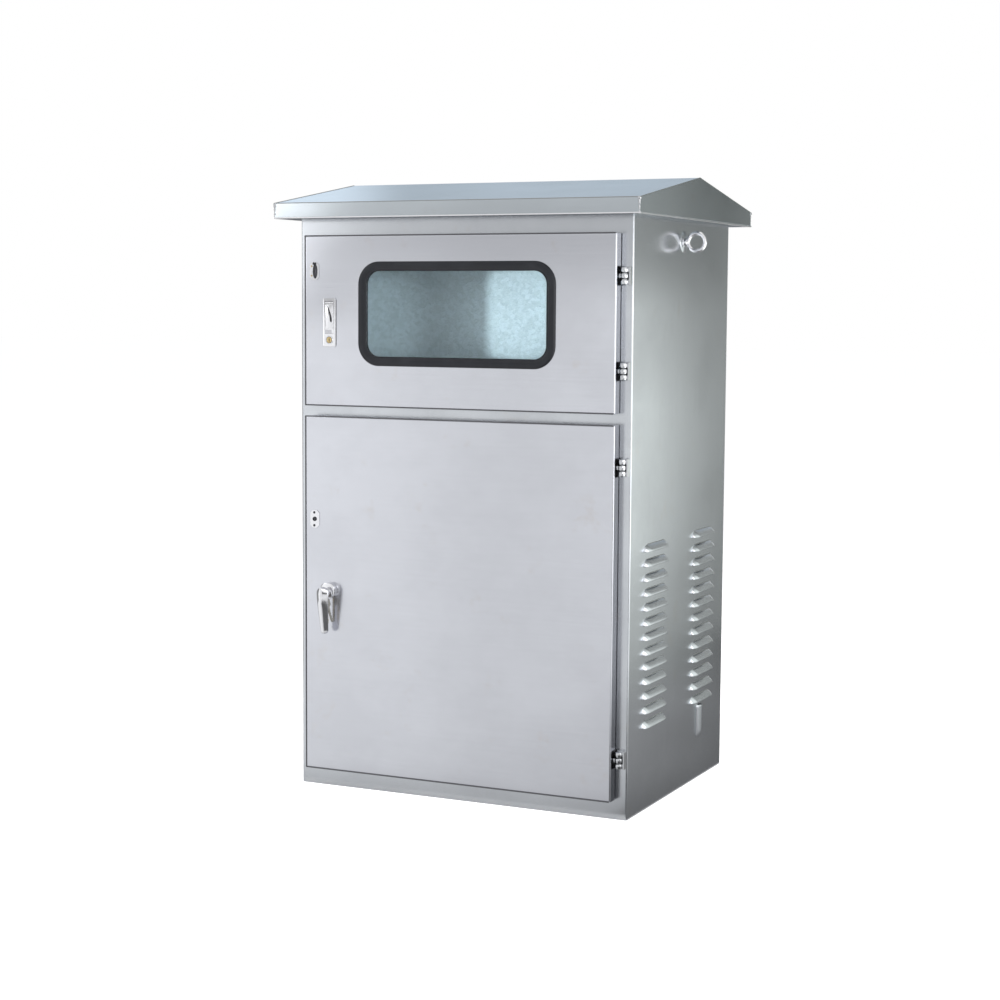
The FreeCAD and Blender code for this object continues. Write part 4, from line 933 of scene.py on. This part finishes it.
ROOF_HALF, ROOF_FRONT = 372.5, 310.0
EAVES, FASCIA_TOP, RIDGE = 1100.0, 1127.0, 1178.0
HEM_HEIGHT = EAVES - 0.6
SIDE_HEM, FRONT_HEM, FOLD_SHADE = 1.8, 1.4, 0.8
RETURN_WIDTH, RETURN_INSET = 28.0, 0.8
RETURN_LOW, RETURN_HIGH = EAVES + 0.6, EAVES + 1.8
WELD_STEPS, WELD_HEIGHT = 36, 27.0


def roof_hem_highlights():
    """Rolled hems along the eaves, in bright chrome as a painted highlight, and dark strips of
    painted shade along the upper folds.
    """
    hem_highlights, fold_shades = Shape(), Shape()
    for side in (1, -1):
        x = side * ROOF_HALF
        hem_highlights.bar((x, -ROOF_FRONT, HEM_HEIGHT), (x, ROOF_FRONT, HEM_HEIGHT), SIDE_HEM)
        for end in (1, -1):
            fold_shades.bar((x, end * ROOF_FRONT, FASCIA_TOP), (x, 0.0, RIDGE), FOLD_SHADE)
    for end in (1, -1):
        y = end * ROOF_FRONT
        hem_highlights.bar((-ROOF_HALF, y, HEM_HEIGHT), (ROOF_HALF, y, HEM_HEIGHT), FRONT_HEM)
        fold_shades.bar((-ROOF_HALF, y, FASCIA_TOP), (ROOF_HALF, y, FASCIA_TOP), FOLD_SHADE)
    hem_highlights.make("roof_hem_highlights", chrome, "cabinet", "roof_steel", 60.0)
    fold_shades.make("roof_fold_shades", shade_line_steel, "cabinet", "roof_steel", 60.0)


def roof_returns():
    """The eaves' folded return: a flat lip running inwards all round."""
    shape = Shape()
    wide, deep = ROOF_HALF - RETURN_INSET, ROOF_FRONT - RETURN_INSET
    rings = []
    for side, end in ((-1, -1), (1, -1), (1, 1), (-1, 1)):
        out = (side * wide, end * deep)
        inside = (side * (wide - RETURN_WIDTH), end * (deep - RETURN_WIDTH))
        rings.append([
            (*out, RETURN_LOW), (*out, RETURN_HIGH), (*inside, RETURN_HIGH), (*inside, RETURN_LOW)])
    shape.skin(rings, looped=True)
    shape.make("roof_return_lip", roof, "cabinet", "roof_steel")


def roof_welds():
    """A run of weld blobs down each corner of the hood, fatter at the top."""
    shape = Shape()
    for side in (1, -1):
        for end in (1, -1):
            profile = [(0.0, -0.2)]
            for step in range(WELD_STEPS + 1):
                share = step / WELD_STEPS
                blobs = 1.1 * abs(math.sin(share * 11.0 + side))
                ripple = blobs + 0.5 * math.sin(share * 37.0 + end)
                profile.append((0.9 + ripple + 2.3 * share ** 3, WELD_HEIGHT * share))
            profile.append((0.0, 27.6))
            corner = (side * (ROOF_HALF - 1.6), end * (ROOF_FRONT - 1.0), EAVES)
            shape.lathe(profile, corner, UP, 18)
    shape.make("roof_corner_welds", bare_steel, "cabinet", "roof_steel", 60.0)


roof_hem_highlights()
roof_returns()
roof_welds()


# Sheet drawn out a little round each lifting eye, and a dark line of painted shade over each louvre

EYE_SEAT = [(24.0, -0.2), (20.0, 0.04), (15.0, 0.2), (12.0, 0.5), (10.0, 0.9), (0.0, 1.0)]
SHADE_LINE_PROFILE = [(-0.9, 0.0), (-0.6, 0.75), (0.6, 0.35), (0.9, 0.0)]
SHADE_LINE_OVERRUN, SHADE_LINE_LEAST = 2.0, 4.0


def eye_seats():
    shape = Shape()
    for side in SIDES.values():
        shape.lathe(EYE_SEAT, (side * HALF_WIDTH, 0.0, EYE_CENTRE[2]), (side, 0, 0), 48)
    shape.make("eye_seats", shell, "cabinet", "shell_steel", 60.0)


def louvre_shade_lines(label, side):
    """A fine dark strip of painted shade along each hood's top, left off at its front end and low
    down.
    """
    shape = Shape()
    for column, base in louvre_places():
        rings = []
        for along, share in hood_stations():
            height = base + LOUVRE_RISE * max(share, LOUVRE_LEAST)
            if along > -LOUVRE_HALF - SHADE_LINE_OVERRUN and height > base + SHADE_LINE_LEAST:
                rings.append([
                    (side * (HALF_WIDTH + out), column + along, height + rise)
                    for rise, out in SHADE_LINE_PROFILE])
        shape.skin(rings)
    shape.make(f"louvre_shade_lines_{label}", shade_line_steel, "cabinet", "shell_steel", 60.0)


eye_seats()
for label, side in SIDES.items():
    louvre_shade_lines(label, side)


# Fasteners: plates, gland plate, earth stud, lock cams and hinge leaves

METER_BOLTS = [(x, -130.0, z) for x in (-313.0, 313.0) for z in (800.0, 936.0, 1072.0)]
EQUIPMENT_BOLTS = [(x, 198.5, z) for x in (-265.0, 265.0) for z in (100.0, 385.0, 670.0)]
GLAND_SCREWS = [(x, y, 3.5) for x in (-60.0, 60.0) for y in (50.0, 150.0)]
EARTH_NUT = (250.0, 60.0, 1.5)
CAM_SEAT = -240.0
LEAF_SCREW = (288.0, -260.0)


def cabinet_fasteners():
    shape = Shape()
    for seat in METER_BOLTS + EQUIPMENT_BOLTS:
        shape.hex_nut(seat, FRONT, radius=5.8, height=4.0, washer=1.4)
    for seat in GLAND_SCREWS:
        shape.pan_head(seat, UP, radius=4.5, height=2.6)
    shape.hex_nut(EARTH_NUT, UP, radius=7.5, height=6.5, washer=1.6)
    shape.make("cabinet_fasteners", bare_steel, "cabinet", "hinge_steel")


def cam_nut(label, height):
    shape = Shape()
    shape.hex_nut((LOCK[0], CAM_SEAT, height), BACK, radius=8.2, height=4.0, washer=0.8)
    shape.make(f"{label}_cam_nut", bare_steel, label, "hinge_steel")


def leaf_screws(label):
    shape = Shape()
    for height in HINGE_HEIGHTS[label]:
        for shift in (-9.0, 9.0):
            shape.pan_head((*LEAF_SCREW, height + shift), BACK, radius=3.2, height=1.8)
    shape.make(f"{label}_leaf_screws", bare_steel, f"{label}_door", "hinge_steel")


cabinet_fasteners()
cam_nut("key", PLUG_HEIGHT)
cam_nut("lever", HANDLE[1])
for label in HINGE_HEIGHTS:
    leaf_screws(label)


# Floor, studio and camera, in metres


def stage_plane(name, centre, across, up, material):
    """A flat sheet about a centre, with half sides given as vectors."""
    centre, across, up = Vector(centre), Vector(across), Vector(up)
    corners = [
        centre - across - up, centre + across - up, centre + across + up, centre - across + up]
    mesh = bpy.data.meshes.new(name)
    mesh.from_pydata(corners, [], [(0, 1, 2, 3)])
    mesh.materials.append(material)
    made = bpy.data.objects.new(name, mesh)
    bpy.context.scene.collection.objects.link(made)
    return made


def floor_material():
    """White floor that still takes the object's shadow, with a painted shadow where its glow dims
    towards the object's middle, and is dimmer in reflections.
    """
    material, tree = new_material("studio_floor")
    paint = node(tree, "ShaderNodeBsdfDiffuse", {"Color": rgb(0.6, 0.6, 0.61)})
    thin = node(tree, "ShaderNodeBsdfDiffuse", {"Color": rgb(0.3, 0.3, 0.3)})
    lit = node(tree, "ShaderNodeBsdfDiffuse", {"Color": rgb(0.8, 0.8, 0.8)})
    coords = node(tree, "ShaderNodeTexCoord")
    away = node(tree, "ShaderNodeVectorMath", {0: coords.outputs["Object"]}, operation="LENGTH")
    # Painted shadow: the glow is weaker within half a metre of the middle and rises outwards to 2.6
    # m.
    painted_shadow_glow = spread(tree, away.outputs["Value"], 0.5, 2.6, 0.68, 0.83)
    glow = node(tree, "ShaderNodeEmission", {"Color": rgb(1, 1, 1), "Strength": painted_shadow_glow})
    sheen = node(tree, "ShaderNodeEmission", {"Color": rgb(1, 1, 1), "Strength": 0.36})
    white = node(tree, "ShaderNodeAddShader", {0: lit, 1: glow})
    mirrored = node(tree, "ShaderNodeAddShader", {0: thin, 1: sheen})
    rays = node(tree, "ShaderNodeLightPath").outputs
    seen = sums(tree, "MAXIMUM", rays["Is Camera Ray"], rays["Is Transmission Ray"])
    mixed = node(tree, "ShaderNodeMixShader", {0: seen, 1: paint, 2: white})
    mixed = node(tree, "ShaderNodeMixShader", {0: rays["Is Glossy Ray"], 1: mixed, 2: mirrored})
    finish_material(tree, mixed)
    return material


COOL_WHITE = (0.98, 0.99, 1.0)
GREENISH = (0.95, 1.0, 0.965)
SKY_BLUE = (0.76, 0.88, 1.0)


def card_material(name, level, axes, colour):
    """A card's brightness: a level shaped along some axes by (axis, stops) of place and share."""
    material, tree = new_material(name)
    split = axes_of(tree)
    strength = level
    for axis, stops in axes:
        low, high = stops[0][0], stops[-1][0]
        share = spread(tree, split.outputs[axis], low, high, 0.0, 1.0)
        ramp = node(tree, "ShaderNodeValToRGB", {"Fac": share})
        ramp.color_ramp.interpolation = "EASE"
        marks = ramp.color_ramp.elements
        while len(marks) < len(stops):
            marks.new(0.5)
        for mark, (place, amount) in zip(marks, stops):
            mark.position = (place - low) / (high - low)
            mark.color = rgb(amount, amount, amount)
        strength = sums(tree, "MULTIPLY", ramp, strength)
    glow = node(tree, "ShaderNodeEmission", {"Color": rgb(*colour), "Strength": strength})
    finish_material(tree, glow)
    return material


def card(name, centre, across, up, level, axes, colour=COOL_WHITE):
    """A glowing card that only shows as a reflection."""
    made = stage_plane(name, centre, across, up, card_material(name, level, axes, colour))
    made.visible_camera = False
    made.visible_diffuse = False
    made.visible_shadow = False
    made.visible_transmission = False


stage_plane("studio_floor", (0, 0, -0.0005), (40, 0, 0), (0, 40, 0), floor_material())

card("side_card", (0.8, 0.82, 1.2), (0, 0.83, 0), (0, 0, 1.2), 1.0, [
    ("Y", [(0.0, 1.32), (0.75, 1.26), (0.95, 1.02), (1.3, 0.46), (1.5, 0.18), (1.65, 0.06)]),
    ("Z", [(0.0, 0.38), (0.2, 0.7), (0.45, 0.98), (0.66, 1.04), (0.89, 0.82), (1.08, 0.38),
           (1.4, 0.3), (2.4, 0.34)])], GREENISH)
card("rear_card", (0.8, 6.825, 1.2), (0, 5.175, 0), (0, 0, 1.2), 1.0, [
    ("Y", [(1.65, 0.58), (1.95, 0.54), (2.2, 0.38), (2.6, 0.34), (4.05, 0.34), (12.0, 0.3)]),
    ("Z", [(0.0, 0.6), (0.6, 1.0), (2.4, 1.1)])], GREENISH)
card("bay_card", (0.86, 0.01, 0.6), (0, 0.61, 0), (0, 0, 0.6), 2.8, [
    ("Y", [(-0.6, 0.3), (-0.4, 1.0), (0.45, 1.0), (0.62, 0.4)]),
    ("Z", [(0.0, 0.2), (0.25, 0.6), (0.5, 1.0), (1.0, 1.0), (1.2, 0.2)])])
card("cap_card", (0.9, -0.95, 0.95), (0, 0.36, 0), (0, 0, 0.35), 2.4, [
    ("Z", [(0.6, 0.5), (0.8, 1.0), (1.3, 1.0)])])
card("ground_card", (0.5725, 0.775, 0.001), (0.228, 0, 0), (0, 1.125, 0), 1.0, [
    ("X", [(0.34, 0.2), (0.48, 0.3), (0.8, 0.62)]),
    ("Y", [(-0.35, 1.0), (0.1, 0.96), (0.7, 0.66), (1.3, 0.34), (1.9, 0.34)])])
card("front_card", (-0.5, -1.3, 1.0), (1.1, 0, 0), (0, 0, 1.0), 1.0, [
    ("X", [(-1.6, 1.2), (-0.92, 1.14), (-0.66, 1.04), (-0.4, 0.92), (-0.1, 0.96), (0.6, 1.04)]),
    ("Z", [(0.0, 0.96), (0.3, 0.98), (0.6, 1.02), (0.92, 1.02), (1.06, 0.74), (1.12, 0.56),
           (1.18, 0.86), (2.0, 0.84)])])
card("left_card", (-1.5, -1.28, 1.09), (0.7, 0, 0), (0, 0, 0.17), 2.4, [
    ("X", [(-2.2, 1.0), (-1.04, 1.0), (-0.86, 0.3), (-0.8, 0.28)]),
    ("Z", [(0.92, 0.4), (1.02, 1.0), (1.26, 1.0)])])
card("eave_card", (-0.94, -1.26, 1.19), (0.16, 0, 0), (0, 0, 0.03), 3.0, [
    ("X", [(-1.1, 1.0), (-0.9, 0.95), (-0.78, 0.4)])])
for label, middle, half in (("low", 0.15, 0.15), ("high", 0.925, 0.125)):
    card(f"dark_card_{label}", (1.91, -1.72, middle), (0.43, 0.66, 0), (0, 0, half), 0.06, [
        ("Z", [(0.0, 1.0), (1.2, 1.1)])])
card("front_ground", (0.4, -1.395, 0.001), (2.0, 0, 0), (0, 1.105, 0), 1.0, [
    ("X", [(-1.6, 1.1), (-0.6, 1.0), (0.13, 0.78), (0.27, 0.7), (0.36, 0.12), (0.75, 0.12),
           (1.0, 1.0), (2.4, 1.2)]),
    ("Y", [(-2.5, 1.0), (-0.5, 1.0), (-0.37, 0.84), (-0.29, 0.76)])])
card("left_flag", (-1.5, 0.9, 0.62), (0, 2.1, 0), (0, 0, 0.62), 0.3, [
    ("Z", [(0.0, 1.0), (0.9, 1.0), (1.25, 2.0)])])
card("roof_card", (-1.4, 2.5, 2.0), (2.0, 0, 0), (0, 0, 0.85), 0.7, [
    ("X", [(-3.4, 1.9), (-1.95, 1.6), (-1.6, 0.9), (-1.2, 1.0), (0.6, 0.82)])], SKY_BLUE)


def area_lamp(name, place, target, size, power):
    """A square lamp that lights surfaces but doesn't show in the steel."""
    lamp = bpy.data.lights.new(name, "AREA")
    lamp.shape = "SQUARE"
    lamp.size = size
    lamp.energy = power
    made = bpy.data.objects.new(name, lamp)
    made.location = place
    made.rotation_euler = (Vector(target) - Vector(place)).to_track_quat("-Z", "Y").to_euler()
    bpy.context.scene.collection.objects.link(made)
    made.visible_glossy = False


area_lamp("key_lamp", (-3.0, -2.75, 0.9), (0.08, -0.13, 0.93), size=0.25, power=236.0)
area_lamp("fill_lamp", (2.994, -1.469, 0.97), (-0.24, -0.13, 0.93), size=0.4, power=146.0)
area_lamp("top_lamp", (0.0, -0.6, 3.4), (0.0, 0.0, 0.6), size=2.0, power=70.0)


def add_world():
    """White where it is seen, straight or mirrored, and a soft level of light on surfaces."""
    world = bpy.data.worlds.new("studio")
    bpy.context.scene.world = world
    world.use_nodes = True
    sky = world.node_tree
    sky.nodes.clear()
    rays = node(sky, "ShaderNodeLightPath").outputs
    seen = sums(sky, "MAXIMUM", rays["Is Camera Ray"], rays["Is Transmission Ray"])
    seen = sums(sky, "MAXIMUM", seen, rays["Is Glossy Ray"])
    soft = node(
        sky, "ShaderNodeBackground", {"Color": rgb(0.96, 0.98, 1.0), "Strength": 0.22})
    white = node(sky, "ShaderNodeBackground", {"Color": rgb(1, 1, 1), "Strength": 1.0})
    both = node(sky, "ShaderNodeMixShader", {0: seen, 1: soft, 2: white})
    node(sky, "ShaderNodeOutputWorld", {"Surface": both})


CAMERA_PLACE = (1.649, -3.605, 0.930)
CAMERA_YAW, CAMERA_PITCH, CAMERA_ROLL = (math.radians(angle) for angle in (25.09, 5.46, 0.38))
CAMERA_LENS, CAMERA_SENSOR = 72.0, 36.0


def add_camera():
    lens = bpy.data.cameras.new("camera")
    lens.lens = CAMERA_LENS
    lens.sensor_width = CAMERA_SENSOR
    made = bpy.data.objects.new("camera", lens)
    right = Vector((math.cos(CAMERA_YAW), math.sin(CAMERA_YAW), 0.0))
    level = math.cos(CAMERA_PITCH)
    ahead = Vector((
        -math.sin(CAMERA_YAW) * level, math.cos(CAMERA_YAW) * level, -math.sin(CAMERA_PITCH)))
    up = right.cross(ahead)
    turn, lift = math.cos(CAMERA_ROLL), math.sin(CAMERA_ROLL)
    rolled_right = right * turn + up * lift
    rolled_up = up * turn - right * lift
    columns = Matrix((rolled_right, rolled_up, -ahead)).transposed()
    made.matrix_world = Matrix.Translation(CAMERA_PLACE) @ columns.to_4x4()
    bpy.context.scene.collection.objects.link(made)
    bpy.context.scene.camera = made


add_world()
add_camera()
bpy.context.scene.view_settings.view_transform = "Standard"
